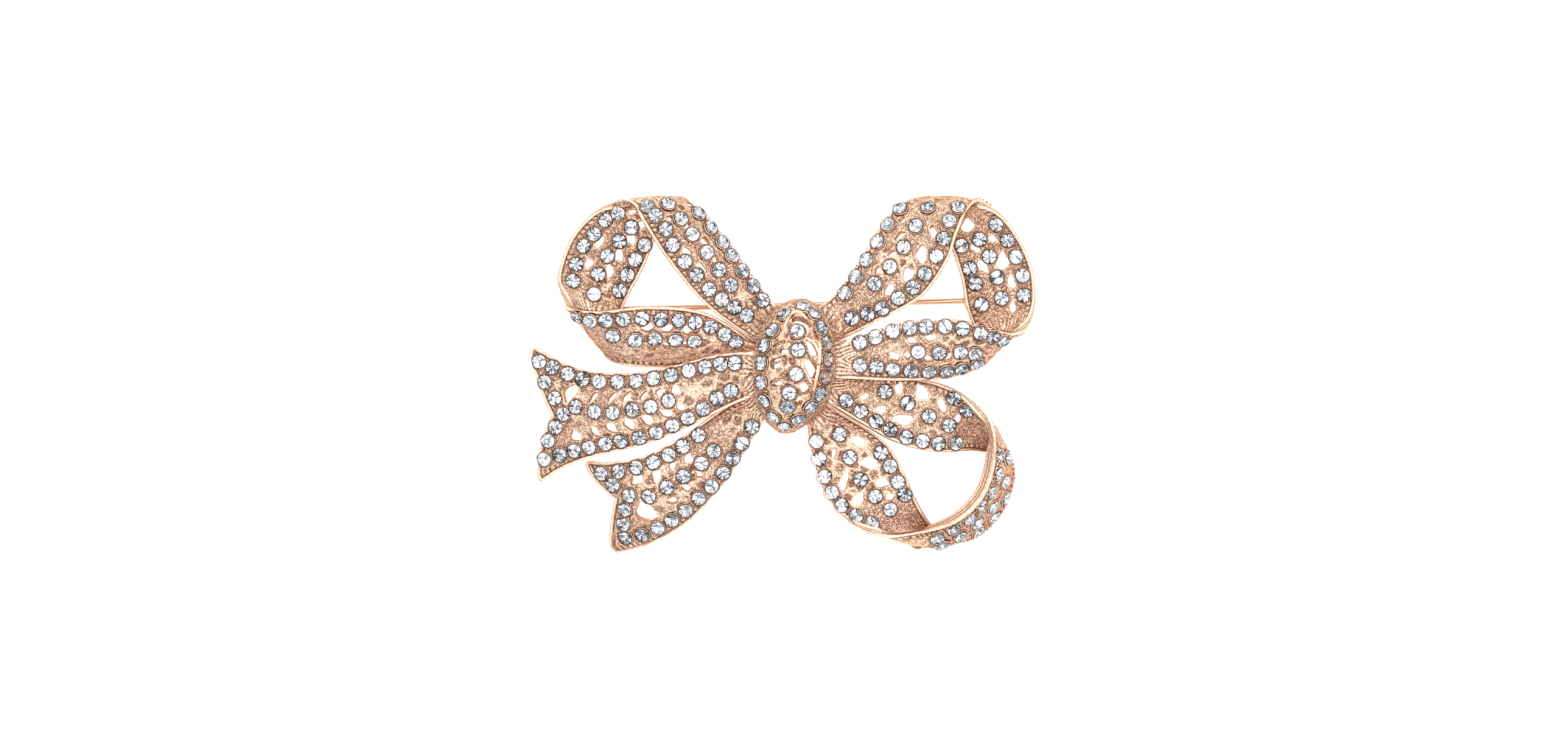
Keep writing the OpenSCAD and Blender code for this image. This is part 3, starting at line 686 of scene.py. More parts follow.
def vein_ridges(points, size, seed):
    """Network of ridges from 0 to 1, highest where two scattered seeds are equally near."""
    q = points / size
    cell = np.floor(q)
    first = np.full(points.shape[:-1], np.inf)
    second = first.copy()
    for step in np.ndindex(3, 3, 3):
        near = cell + np.array(step) - 1
        seeds = near + np.stack([lattice_values(near, seed + k) for k in range(3)], -1)
        d = np.linalg.norm(q - seeds, axis=-1)
        second = np.minimum(second, np.maximum(first, d))
        first = np.minimum(first, d)
    return 1 - smooth_rise(*RIDGE_FALL, second - first)


def run_lengths(points, axis):
    """Distance travelled along a grid of points in the direction of one of its axes."""
    steps = np.linalg.norm(np.diff(points, axis=axis), axis=-1)
    return np.insert(np.cumsum(steps, axis=axis), 0, 0, axis=axis)


def ribbon_places(rows, notch, trims, pitch):
    """Grid of places on a ribbon: lines across it at even distances along its run, and lines
    along it that follow its borders closely and share out the width between."""
    last = len(rows) - 1
    reach, tips, middle = notch
    fine = np.linspace(0, last + tips, LENGTH_STEPS * last + 1)
    t, v = np.meshgrid(fine, [0, 0.5, 1], indexing="ij")
    steps = np.linalg.norm(np.diff(middle_points(rows, t, v), axis=0), axis=-1).max(-1)
    along = np.insert(np.cumsum(steps), 0, 0)
    t = np.interp(np.linspace(0, along[-1], math.ceil(along[-1] / pitch) + 1), along, fine)
    s = row_sections(rows, t)
    full = np.linalg.norm(edge_points(s, EDGE_B) - edge_points(s, EDGE_A), axis=-1)[:, None]
    trim_a, trim_b = (np.interp(t, np.arange(last + 1), trim)[:, None] / full for trim in trims)
    width = full * (1 - trim_a - trim_b)
    near = RIM_LINES / width
    inner = np.linspace(0, 1, math.ceil((width.max() - 2 * RIM_LINES[-1]) / pitch) + 1)[1:-1]
    between = near[:, -1:] + (1 - 2 * near[:, -1:]) * inner
    v = np.hstack([near, between, 1 - near[:, ::-1]])
    side = np.where(v < middle, v / middle, (1 - v) / (1 - middle))
    corner = TIP_ROUND * np.clip(1 - side / TIP_SHARE, 0, 1) ** 2 * (reach > 0)
    t = t[:, None] * (1 - (reach * side ** NOTCH_CURVE + corner) / last)
    return t, trim_a + (1 - trim_a - trim_b) * v


def opening_field(points, rows, openings, stones, seat_r, room):
    """Rough distance in mm from the nearest opening's border, below 0 inside it. Each opening is
    an ellipse whose radius swells and shrinks round it; a stone's seat always stays metal."""
    field = np.full(points.shape[:-1], FAR_FIELD)
    for number, (t, v, half_l, half_w, turn) in enumerate(openings):
        centre, run, across, _ = surface_frames(rows, np.array(t), np.array(v))
        half_l, half_w = half_l + room, half_w + room
        x, y = (points - centre) @ run, (points - centre) @ across
        c, s = math.cos(math.radians(turn)), math.sin(math.radians(turn))
        x, y = (x * c + y * s) / half_l, (y * c - x * s) / half_w
        angle = np.arctan2(y, x)
        reach = 1
        for share, waves, shift in OPENING_SWELLS:
            reach = reach + share * np.sin(waves * angle + shift * number)
        here = (np.hypot(x, y) / reach - 1) * math.sqrt(half_l * half_w)
        far = np.linalg.norm(points - centre, axis=-1) > FIELD_REACH * half_l + 1
        field = np.minimum(field, np.where(far, FAR_FIELD, here))
    for _, places in stones:
        for place in places:
            centre = middle_points(rows, np.array(place[0]), np.array(place[1]))
            field = np.maximum(field, seat_r - np.linalg.norm(points - centre, axis=-1))
    return field


def kept_cells(field):
    """Whether each cell of a grid is metal, from the mean of its corners."""
    return (field[:-1, :-1] + field[1:, :-1] + field[:-1, 1:] + field[1:, 1:]) > 0


def snap_to_openings(t, v, field, kept):
    """Moves the grid's places on the border between metal and opening onto the field's zero."""
    some = np.zeros(field.shape, bool)
    every = np.ones(field.shape, bool)
    for i in (slice(None, -1), slice(1, None)):
        for j in (slice(None, -1), slice(1, None)):
            some[i, j] |= kept
            every[i, j] &= kept
    rim = some & ~every
    rim[:, 0] = rim[:, -1] = False
    slopes = np.gradient(field)
    steep = np.maximum(slopes[0] ** 2 + slopes[1] ** 2, LEAST_SLOPE)
    move_i, move_j = (
        np.where(rim, np.clip(-field * slope / steep, -MOST_MOVE, MOST_MOVE), 0)
        for slope in slopes)
    (t_i, t_j), (v_i, v_j) = np.gradient(t), np.gradient(v)
    return t + move_i * t_i + move_j * t_j, v + move_i * v_i + move_j * v_j


def ribbon_relief(points, out, side, borders, along, ends, rimmed, field, seats, sizes):
    """Height of a ribbon's face over its plain wall, with masks for its painted shade and its
    polished parts.

    borders and along are the distances to the nearest border and along it, ends the distance to
    the nearest gathers, field that to the openings and seats the stones' places on this side.
    Where rimmed is 1 the rim is a half round, then come a groove with painted shade, a row of
    teeth and the grained ground, with ridges that cross it like a web, a raised lip round each
    opening and a cone sunk for each stone, into which shade is painted. Gathers are sin(2 pi
    (borders / GATHER_PITCH + noise))."""
    rim_w = sizes.rim_w / MM
    facing = smooth_rise(*FACING, side * out[..., 2])
    hidden = np.clip(-side * out[..., 2], 0, 1)
    rim = RIM_FOOT + RIM_RISE * round_top(borders, rim_w / 2, rim_w * RIM_HALF)
    groove = round_top(borders, rim_w + GROOVE_AT, GROOVE_HALF) * rimmed
    ground = np.maximum(
        smooth_rise(rim_w + GROUND_AT[0], rim_w + GROUND_AT[1], borders), 1 - rimmed)
    drift = TOOTH_DRIFT * soft_noise(points, TOOTH_NOISE, TOOTH_SEED)
    tooth = np.abs((along / TOOTH_PITCH + drift) % 1 - 0.5) * 2
    band = round_top(borders, rim_w + TEETH_AT, TEETH_HALF) * rimmed
    band = band * smooth_rise(*TEETH_PATCH_AT, soft_noise(points, TEETH_PATCH, TEETH_SEED))
    teeth = smooth_rise(*TOOTH_AT, tooth) * band
    pits = smooth_rise(*PIT_AT, tooth) * band
    streaks = np.stack([borders, along / STREAK_LONG, 0 * along], -1)
    streaks = soft_noise(streaks, STREAK_SIZE, STREAK_SEED)
    grain = GRAIN_SHARE * soft_noise(points, GRAIN_SIZE, GRAIN_SEED) + GRAIN_SHARE * streaks
    patches = smooth_rise(*WEB_PATCH_AT, soft_noise(points, WEB_PATCH, WEB_SEED))
    web = smooth_rise(*WEB_AT, borders) * patches
    veins = vein_ridges(points, VEIN_SIZE, VEIN_SEED) * web
    fold = 1 - smooth_rise(*GATHERS_AT, ends)
    drift = GATHER_DRIFT * soft_noise(points, GATHER_NOISE, GATHER_SEED)
    gathers = np.sin(2 * np.pi * (borders / GATHER_PITCH + drift))
    lip = round_top(field, LIP_AT, LIP_HALF)
    rough = ground * sizes.grain
    texture = GRAIN_RISE * grain + facing * (
        (1 - fold) * (VEIN_RISE * veins - WEB_SINK * web) + fold * GATHER_RISE * gathers)
    height = rim * (1 - ground) + ground * -GROUND_SINK
    height = height + facing * (
        TEETH_RISE * teeth - PIT_SINK * pits - GROOVE_SINK * groove) + rough * texture
    height = height + LIP_RISE * lip * ground
    height = height - BACK_SINK * hidden * (1 - smooth_rise(0.0, BACK_SLOPE, borders))
    # Low spots of the grain and the web; shade is painted into them, into the groove and the pits
    # on the face, and less of it on the lips round the openings
    low = smooth_rise(*LOW_AT, -texture)
    dark = np.clip(facing * (SHADE_GROOVE * groove + SHADE_PIT * pits)
                   + (SHADE_LOW - SHADE_LOW_AT_FOLD * fold) * ground * low, 0, 1)
    dark = dark * (1 - DARK_LIP * lip)
    polish = POLISH_RIM * (1 - ground) * (1 - groove) + POLISH_LIP * lip + POLISH_TOOTH * teeth
    polish = np.clip(polish + facing * (
        POLISH_VEIN * (1 - fold) * veins
        + POLISH_GATHER * fold * smooth_rise(*GATHER_TOP, gathers)), 0, 1)
    stone_r = sizes.stone_d / MM / 2
    for centre, normal in seats:
        offset = points - centre
        lift = offset @ normal
        r = np.sqrt(np.maximum((offset ** 2).sum(-1) - lift ** 2, 0))
        here = (np.abs(lift) < CUP_REACH) & (r < stone_r + CUP_ROOM)
        cup = CUP_FOOT - CUP_SINK * np.clip(1 - r / stone_r, 0, 1)
        inside = here * (1 - smooth_rise(stone_r + CUP_EDGE[0], stone_r + CUP_EDGE[1], r))
        height = height * (1 - inside) + cup * inside
        # Shade painted into each stone's cone
        dark = np.maximum(dark, inside)
        polish = polish * (1 - inside)
    return height, dark, polish


def ribbon_faces(kept, index):
    """Faces of a pierced sheet with two sides: cells of the face, the same cells turned round on
    the back, and a wall between them at each opening and at both ends of the run."""
    corners = [index[:-1, :-1], index[1:, :-1], index[1:, 1:], index[:-1, 1:]]
    cells = [c[kept] for c in corners]
    faces = [np.stack(cells, -1), np.stack([c + index.size for c in cells[::-1]], -1)]
    padded = np.pad(kept, 1)
    beside = [padded[1:-1, :-2], padded[2:, 1:-1], padded[1:-1, 2:], padded[:-2, 1:-1]]
    walls = []
    for k in range(4):
        bare = kept & ~beside[k]
        if k in (0, 2):
            bare[:, 0 if k == 0 else -1] = False
        p, q = corners[k][bare], corners[(k + 1) % 4][bare]
        walls.append(np.stack([q, p, p + index.size, q + index.size], -1))
    return faces + [np.vstack(walls)]


def border_sides(front, back, outward, count):
    """Side of one border of a ribbon: lines of points from its face to its back that stand out
    by the side's steps. Returns the points and their numbers, counted from count on."""
    steps = len(SIDE_STEPS)
    shares = ((np.arange(steps) + 1) / (steps + 1))[:, None]
    points = (front[:, None] * (1 - shares) + back[:, None] * shares
              + outward[:, None] * SIDE_STEPS[:, None])
    return points, count + np.arange(len(front) * steps).reshape(-1, steps)


def new_piece(name, points, faces, flat=(), slots=None, layers=()):
    """Makes a mesh object from points in mm and lists of faces, each list with its own number of
    corners. Points that no face uses are left out. Faces in the lists that flat numbers are flat
    shaded, and slots holds a material slot for each face. Each layer is an attribute's name, its
    domain and its values, with one column or three."""
    used = np.zeros(len(points), bool)
    for group in faces:
        used[group.ravel()] = True
    number = np.cumsum(used) - 1
    corners = np.concatenate([number[group].ravel() for group in faces]).astype(np.int32)
    totals = np.concatenate([np.full(len(g), g.shape[1]) for g in faces]).astype(np.int32)
    starts = np.insert(np.cumsum(totals)[:-1], 0, 0).astype(np.int32)
    smooth = np.concatenate([np.full(len(g), k not in flat) for k, g in enumerate(faces)])
    mesh = bpy.data.meshes.new(name)
    mesh.vertices.add(int(used.sum()))
    mesh.vertices.foreach_set("co", (points[used] * MM).astype(np.float32).ravel())
    mesh.loops.add(len(corners))
    mesh.loops.foreach_set("vertex_index", corners)
    mesh.polygons.add(len(totals))
    mesh.polygons.foreach_set("loop_start", starts)
    mesh.polygons.foreach_set("loop_total", totals)
    mesh.polygons.foreach_set("use_smooth", smooth)
    if slots is not None:
        mesh.polygons.foreach_set("material_index", slots.astype(np.int32))
    for key, domain, values in layers:
        values = values[used] if domain == "POINT" else values
        kind, field = ("FLOAT_VECTOR", "vector") if values.ndim > 1 else ("FLOAT", "value")
        layer = mesh.attributes.new(key, kind, domain)
        layer.data.foreach_set(field, values.astype(np.float32).ravel())
    mesh.update()
    mesh.validate()
    piece = bpy.data.objects.new(name, mesh)
    bpy.context.scene.collection.objects.link(piece)
    return piece


def cast_piece(name, points, faces, dark=None, polish=None, flat=()):
    """Makes a piece of cast gold on the brooch, with masks for its painted shade and its polished
    parts.
    """
    layers = () if dark is None else (("recess_shade", "POINT", dark), ("polish", "POINT", polish))
    piece = new_piece(name, points, faces, flat, layers=layers)
    piece.data.materials.append(cast_gold())
    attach(piece, "brooch")
    return piece


def seat_planes(rows, t, v):
    """Planes that stones lie in: middle, run, across and out of four points of the surface at
    SEAT_REACH round each place, so that a stone rises in a hollow and sinks on a crest."""
    long_way = middle_points(rows, t + RUN_STEP, v) - middle_points(rows, t - RUN_STEP, v)
    wide_way = middle_points(rows, t, v + RUN_STEP) - middle_points(rows, t, v - RUN_STEP)
    dt = 2 * RUN_STEP * SEAT_REACH / np.linalg.norm(long_way, axis=-1)
    dv = 2 * RUN_STEP * SEAT_REACH / np.linalg.norm(wide_way, axis=-1)
    ahead, behind = middle_points(rows, t + dt, v), middle_points(rows, t - dt, v)
    right, left = middle_points(rows, t, v + dv), middle_points(rows, t, v - dv)
    run = unit(ahead - behind)
    out = unit(np.cross(run, right - left))
    centre = (middle_points(rows, t, v) + (ahead + behind + right + left) / 4) / 2
    return centre, run, np.cross(out, run), out


def stone_places(name, side=None):
    """Places and directions of a ribbon's stones: middle of the wall, run, across and outwards."""
    rows, _, stones = RIBBONS[name][:3]
    found = [(*p[:2], p[2] if len(p) > 2 else 0.0, way)
             for way, places in stones for p in places if side in (None, way)]
    if not found:
        return (np.zeros((0, 3)),) * 4
    t, v, lifts, sides = np.array(found).T
    centre, run, across, out = seat_planes(rows, t, v)
    lifts, sides = lifts[:, None], sides[:, None]
    return centre + out * sides * lifts, run, across * sides, out * sides


def build_ribbon(name):
    """Makes a pierced ribbon in place of its plain solid: its two faces, raised by their relief,
    the walls of its openings and the sides and ends of its border."""
    sizes = bpy.context.scene.brooch_sizes
    rows, openings, stones, notch, folds, trims, flange = RIBBONS[name]
    t, v = ribbon_places(rows, notch, trims, sizes.mesh_pitch / MM)
    points = middle_points(rows, t, v)
    from_a = run_lengths(points, 1)
    from_b = from_a[:, -1:] - from_a
    run = run_lengths(points, 0)
    to_end = run[-1] - run
    borders = np.minimum(from_a, from_b)
    ends = np.minimum(run, to_end)
    if notch[0] > 0:
        borders = np.minimum(borders, NOTCHED_END * to_end)
        ends = run
    rimmed = smooth_rise(*RIMMED_AT, ends)
    if name == "knot":
        ends, rimmed = ends + KNOT_AWAY, rimmed * 0
    for fold in folds:
        at_fold = np.stack([np.interp(fold, t[:, k], run[:, k]) for k in range(t.shape[1])])
        ends = np.minimum(ends, np.abs(run - at_fold) + FOLD_AWAY)
    along = np.where(from_a < from_b, run[:, :1], run[:, -1:])
    seat_r = sizes.stone_d / MM / 2 + SEAT_ROOM
    field = opening_field(points, rows, openings, stones, seat_r, sizes.opening_room / MM)
    field[borders < BORDER_KEPT] = FAR_FIELD
    kept = kept_cells(field)
    t, v = snap_to_openings(t, v, field, kept)
    points, run_way, _, out = surface_frames(rows, t, v)
    shells, darks, polishes = [], [], []
    for side in (1, -1):
        centres, _, _, normals = stone_places(name, side)
        height, dark, polish = ribbon_relief(
            points, out, side, borders, along, ends, rimmed, field, zip(centres, normals), sizes)
        if side < 0:
            on_flange = smooth_rise(flange[0], flange[0] + FLANGE_END, t) * smooth_rise(
                flange[1], flange[1] - FLANGE_END, t) * (flange[2] > 0)
            height = height + flange[2] * on_flange * (1 - smooth_rise(*FLANGE_AT, from_b))
        shells.append(points + side * out * (WALL / 2 + height)[..., None])
        darks.append(dark.ravel())
        polishes.append(polish.ravel())
    cloud = [shell.reshape(-1, 3) for shell in shells]
    index = np.arange(t.size).reshape(t.shape)
    faces = ribbon_faces(kept, index)
    count = 2 * t.size
    caps = []
    for column, way in ((0, -1), (-1, 1)):
        outward = way * np.cross(out[:, column], run_way[:, column])
        extra, number = border_sides(shells[0][:, column], shells[1][:, column], outward, count)
        front, back = index[:, column], index[:, column] + t.size
        lines = np.hstack([front[:, None], number, back[:, None]])
        near, far = lines[:-1], lines[1:]
        strip = np.stack([far[:, :-1], near[:, :-1], near[:, 1:], far[:, 1:]], -1).reshape(-1, 4)
        faces.append(strip[:, ::-way])
        caps += [lines[:1, ::-way], lines[-1:, ::way]]
        cloud.append(extra.reshape(-1, 3))
        low = np.tile(SIDE_STEPS == 0, len(front)).astype(float)
        # Shade painted into the two fine lines sunk along the border's side
        darks.append(SIDE_LINE_SHADE * low)
        polishes.append(SIDE_POLISH - (SIDE_POLISH - SIDE_LINE_POLISH) * low)
        count += number.size
    piece = cast_piece(name + "_metal", np.vstack(cloud), faces + [np.vstack(caps)],
                       np.concatenate(darks), np.concatenate(polishes), flat=(2, 5))
    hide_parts(name)
    return piece


def ring_points(radius, height, count, start=0.0):
    """Points evenly round a circle at one height, the first at the angle start."""
    angle = start + 2 * np.pi * np.arange(count) / count
    return np.stack([radius * np.cos(angle), radius * np.sin(angle), np.full(count, height)], -1)


def cut_stone():
    """Round cut stone of radius one with eight-fold facets, its girdle at height 0: a flat table,
    a crown of stars, kites and halves, and a pavilion of halves and mains down to a point.
    Returns points, the crown's faces by their number of corners, and the pavilion's triangles."""
    n = CUT_SIDES
    points = np.vstack([
        ring_points(*TABLE_RING, n), ring_points(*STAR_RING, n, np.pi / n),
        ring_points(*GIRDLE_RING, 2 * n), ring_points(*LOW_RING, n), [[0, 0, TIP_H]]])
    k = np.arange(n)
    table, star, girdle, low, tip = k, n + k, 2 * (n + k), 4 * n + k, np.full(n, 5 * n)
    nxt, last = (k + 1) % n, (k - 1) % n
    following = 2 * (n + nxt)
    stars = np.stack([table, star, table[nxt]], -1)
    kites = np.stack([table, star[last], girdle, star], -1)
    halves = np.vstack([
        np.stack([star, girdle, girdle + 1], -1), np.stack([star, girdle + 1, following], -1)])
    pavilion = np.vstack([
        np.stack([girdle + 1, girdle, low], -1), np.stack([following, girdle + 1, low[nxt]], -1),
        np.stack([low, tip, girdle + 1], -1), np.stack([girdle + 1, tip, low[nxt]], -1)])
    return points, [table[None], stars, kites, halves], pavilion


def placed_copies(shape, centres, x_way, y_way, z_way, scale):
    """Copies of a shape's points, each turned to its own three directions and moved to its
    place: centre + scale * (x X + y Y + z Z)."""
    scale = np.broadcast_to(np.asarray(scale, float), (len(centres),))[:, None, None]
    turned = (shape[None, :, :1] * x_way[:, None] + shape[None, :, 1:2] * y_way[:, None]
              + shape[None, :, 2:3] * z_way[:, None])
    return (centres[:, None] + scale * turned).reshape(-1, 3)


def repeated_faces(group, copies, size):
    """Faces of one shape repeated for each copy, each copy with size points."""
    return (group[None] + size * np.arange(copies)[:, None, None]).reshape(-1, group.shape[1])


def turned_ways(x_way, y_way, angles):
    """Two directions turned in their own plane by an angle for each."""
    c, s = np.cos(angles)[:, None], np.sin(angles)[:, None]
    return x_way * c + y_way * s, y_way * c - x_way * s


def build_stones(name, seed):
    """Sets a ribbon's stones: one mesh of cut stones, clear above and foiled below the girdle."""
    sizes = bpy.context.scene.brooch_sizes
    rng = np.random.default_rng(seed)
    centre, run, across, out = stone_places(name)
    n = len(centre)
    x_way, y_way = turned_ways(run, across, rng.uniform(0, 2 * np.pi, n))
    lean = rng.normal(0, STONE_LEAN, (n, 2))
    z_way = unit(out + lean[:, :1] * run + lean[:, 1:] * across)
    x_way = unit(x_way - (x_way * z_way).sum(-1, keepdims=True) * z_way)
    y_way = np.cross(z_way, x_way)
    shape, crown, pavilion = cut_stone()
    girdle = centre + out * (WALL / 2 + sizes.stone_lift / MM)
    radius = STONE_SHARE * sizes.stone_d / MM / 2
    points = placed_copies(shape, girdle, x_way, y_way, z_way, radius)
    faces = [repeated_faces(g, n, len(shape)) for g in crown + [pavilion]]
    slots = np.concatenate([np.full(len(g), int(k == len(crown))) for k, g in enumerate(faces)])
    # A chance value for each of the foil's faces, which sets its painted reflection
    shade = rng.uniform(0, 1, len(slots))
    corners = sum(g.size for g in faces[:-1])
    edge = np.vstack([np.ones((corners, 3)), np.tile(np.eye(3), (len(faces[-1]), 1))])
    reach = np.tile(np.hypot(shape[:, 0], shape[:, 1]), n)
    piece = new_piece(
        name + "_stones", points, faces, range(len(faces)), slots,
        (("reach", "POINT", reach), ("facet_reflection", "FACE", shade), ("edge", "CORNER", edge)))
    piece.data.materials.append(named_material("crystal", crystal_material))
    piece.data.materials.append(named_material("stone_foil", foil_material))
    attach(piece, "brooch")
    return piece


def build_settings(name, seed):
    """Makes the collars round a ribbon's stones: low rings of four lines whose crest rises and
    falls by chance, as metal that was pushed over by hand."""
    sizes = bpy.context.scene.brooch_sizes
    rng = np.random.default_rng(seed)
    centre, run, across, out = stone_places(name)
    n, rings, count = len(centre), len(COLLAR_RINGS), COLLAR_SIDES
    x_way, y_way = turned_ways(run, across, rng.uniform(0, 2 * np.pi, n))
    shape = np.vstack([ring_points(*ring[:2], count) for ring in COLLAR_RINGS])
    k = np.arange(rings * count).reshape(rings, count)
    above, nxt = np.roll(k, -1, axis=0), np.roll(k, -1, axis=1)
    faces = np.stack([above, np.roll(above, -1, axis=1), nxt, k], -1).reshape(-1, 4)
    foot = centre + out * (WALL / 2 + sizes.stone_lift / MM)
    points = placed_copies(shape, foot, x_way, y_way, out, sizes.stone_d / MM / 2)
    points = points.reshape(n, rings, count, 3)
    points[:, COLLAR_CREST] += out[:, None] * rng.uniform(*COLLAR_SWING, (n, count, 1))
    # Painted shade of each ring: a dark ring round the stone and at the collar's foot
    dark, polish = (np.tile(np.repeat(COLLAR_RINGS[:, k], count), n) for k in (2, 3))
    return cast_piece(name + "_collars", points.reshape(-1, 3),
                      [repeated_faces(faces, n, len(shape))], dark, polish)


def bead_shape():
    """Small ball of radius one: three rings of points and two poles."""
    n = BEAD_SIDES
    rings = [ring_points(math.sin(a), math.cos(a), n)
             for a in (math.pi / 4, math.pi / 2, 3 * math.pi / 4)]
    points = np.vstack([[[0, 0, 1]]] + rings + [[[0, 0, -1]]])
    k = 1 + np.arange(n)
    nxt = 1 + (k % n)
    top = np.stack([0 * k, k, nxt], -1)
    foot = np.stack([0 * k + 1 + 3 * n, nxt + 2 * n, k + 2 * n], -1)
    bands = np.vstack([np.stack([a + k, a + n + k, a + n + nxt, a + nxt], -1) for a in (0, n)])
    return points, [np.vstack([top, foot]), bands]


def bead_places(name, bead_r, room):
    """Places of a ribbon's beads: beside the gap between each two stones that are neighbours in a
    row, on both sides of the row, where no other stone and no opening is too near."""
    rows, openings, stones = RIBBONS[name][:3]
    all_centres = stone_places(name)[0]
    found, ways = [], []
    for side, places in stones:
        places = np.array([p[:2] for p in places])
        c, _, _, out = surface_frames(rows, places[:, 0], places[:, 1])
        out = out * side
        gap = np.linalg.norm(c[1:] - c[:-1], axis=-1)
        middle = (c[1:] + c[:-1]) / 2
        normal = unit(out[1:] + out[:-1])
        sideways = np.cross(normal, unit(c[1:] - c[:-1]))
        for way in (-BEAD_ASIDE, BEAD_ASIDE):
            spot = middle + way * sideways
            clear = np.linalg.norm(spot[:, None] - all_centres[None], axis=-1).min(-1)
            solid = opening_field(spot, rows, openings, [], 0.0, room) > BEAD_METAL
            good = (gap < BEAD_GAP) & (clear > BEAD_CLEAR) & solid
            found.append((spot + normal * (WALL / 2 - BEAD_SINK))[good])
            ways.append(normal[good])
    spots = np.vstack(found)
    return spots, np.vstack(ways), np.full(len(spots), bead_r)


def even_spots(line, ways, first, step):
    """Places at even distances along a line from the first on, with their directions."""
    length = run_lengths(line, 0)
    stops = np.arange(first, length[-1], step)
    spots, ways = (np.stack([np.interp(stops, length, values[:, k]) for k in range(3)], -1)
                   for values in (line, ways))
    return spots, unit(ways)


def edge_bead_places(rows, v, first, last, side, inset, bead_r):
    """Places of a row of beads along a border, each where the run has gone on by a bead."""
    t = np.linspace(first, last, BORDER_COUNT)
    v = np.full(BORDER_COUNT, float(v))
    line, _, across, out = surface_frames(rows, t, v)
    inward = across * np.where(v < 0.5, 1, -1)[:, None]
    line = line + inward * inset + out * side * (WALL / 2 - EDGE_BEAD_SINK)
    spots, ways = even_spots(
        line, out * side if side else -inward, bead_r, bead_r * EDGE_BEAD_STEP)
    return spots, ways, np.full(len(spots), bead_r)


def laid_curve(rows, places, count):
    """Points and outward directions of a curve over a ribbon through three places p at 0, 1/2 and
    1: the sum of each place times its quadratic that is 1 there and 0 at the others."""
    first, second, third = np.array(places)
    p = np.linspace(0, 1, count)[:, None]
    curve = 2 * (p - 0.5) * (p - 1) * first - 4 * p * (p - 1) * second + 2 * p * (p - 0.5) * third
    line, _, _, out = surface_frames(rows, curve[:, 0], curve[:, 1])
    return line, out


def rope_places(rows, rope, bead_r):
    """Places of the beads of one rope on the knot, nearly a bead's width apart on its curve."""
    spots, ways = even_spots(*laid_curve(rows, rope, ROPE_COUNT), 0, bead_r * ROPE_BEAD_STEP)
    return spots + ways * (WALL / 2 + ROPE_BEAD_RISE), ways, np.full(len(spots), bead_r)


def bar_tube(rows, places):
    """Round bar along a curve over a ribbon: rings of radius BAR_R sin(pi s)^(1/4) on the curve
    at shares s of its length, which close to a point at both its ends. Returns points and
    faces."""
    line, out = laid_curve(rows, places, BAR_COUNT)
    way = unit(np.gradient(line, axis=0))
    side = unit(np.cross(way, out))
    angle = 2 * np.pi * np.arange(BAR_SIDES) / BAR_SIDES
    r = BAR_R * np.sin(np.pi * np.linspace(0, 1, BAR_COUNT)) ** BAR_POWER
    r[[0, -1]] = BAR_END_R
    points = line[:, None] + out[:, None] * (WALL / 2 - BAR_SINK) + r[:, None, None] * (
        np.cos(angle)[:, None] * out[:, None] + np.sin(angle)[:, None] * side[:, None])
    k = np.arange(BAR_COUNT * BAR_SIDES).reshape(BAR_COUNT, BAR_SIDES)
    beside = np.roll(k, -1, axis=1)
    faces = np.stack([beside[:-1], beside[1:], k[1:], k[:-1]], -1).reshape(-1, 4)
    ends = np.stack([k[0][::-1], k[-1]])
    return points.reshape(-1, 3), faces, ends


def build_bars():
    """Makes the knot's smooth bars as one mesh."""
    made = [bar_tube(KNOT_ROWS, places) for places in KNOT_BARS]
    size = len(made[0][0])
    faces = [np.vstack([part[k] + size * n for n, part in enumerate(made)]) for k in (1, 2)]
    points = np.vstack([part[0] for part in made])
    dark = np.zeros(len(points))
    return cast_piece("knot_bars", points, faces, dark, dark + BAR_POLISH)


def build_beads(name):
    """Makes a ribbon's beads as one mesh."""
    sizes = bpy.context.scene.brooch_sizes
    bead_r = sizes.bead_d / MM / 2
    sets = [bead_places(name, bead_r, sizes.opening_room / MM)]
    if name == "knot":
        sets += [rope_places(KNOT_ROWS, rope, bead_r * ROPE_BEAD_R) for rope in KNOT_ROPES]
    sets += [edge_bead_places(RIBBONS[name][0], *row[1:], bead_r * EDGE_BEAD_R)
             for row in EDGE_BEADS if row[0] == name]
    spots, ways, radii = (np.concatenate([s[k] for s in sets]) for k in range(3))
    x_way = unit(np.cross(ways, BEAD_ASKEW))
    shape, groups = bead_shape()
    points = placed_copies(shape, spots, x_way, np.cross(ways, x_way), ways, radii)
    return cast_piece(
        name + "_beads", points, [repeated_faces(g, len(spots), len(shape)) for g in groups])


def new_group(name, inputs, outputs):
    """Makes a shader node group with named sockets and returns it with its two end nodes."""
    group = bpy.data.node_groups.new(name, "ShaderNodeTree")
    for label, kind, default in inputs:
        socket = group.interface.new_socket(label, in_out="INPUT", socket_type=kind)
        socket.default_value = default
    for label, kind in outputs:
        group.interface.new_socket(label, in_out="OUTPUT", socket_type=kind)
    return group, group.nodes.new("NodeGroupInput"), group.nodes.new("NodeGroupOutput")


def set_sockets(made, values):
    """Sets a node's inputs, each to a plain value or fed by another node's output."""
    for key, value in values.items():
        if isinstance(value, bpy.types.NodeSocket):
            made.id_data.links.new(value, made.inputs[key])
        else:
            made.inputs[key].default_value = value


def node(tree, kind, sockets=None, **settings):
    """Adds a node with some of its inputs and properties set."""
    made = tree.nodes.new(kind)
    for key, value in settings.items():
        setattr(made, key, value)
    set_sockets(made, sockets or {})
    return made


def math_node(tree, operation, first, second=None, clamp=False):
    """Adds a maths node fed by sockets or plain numbers and returns its output."""
    sockets = {0: first} if second is None else {0: first, 1: second}
    return node(tree, "ShaderNodeMath", sockets, operation=operation, use_clamp=clamp).outputs[0]


def attribute(tree, name, output="Fac"):
    """Adds a node that reads an attribute of the mesh and returns its output."""
    return node(tree, "ShaderNodeAttribute", attribute_name=name).outputs[output]


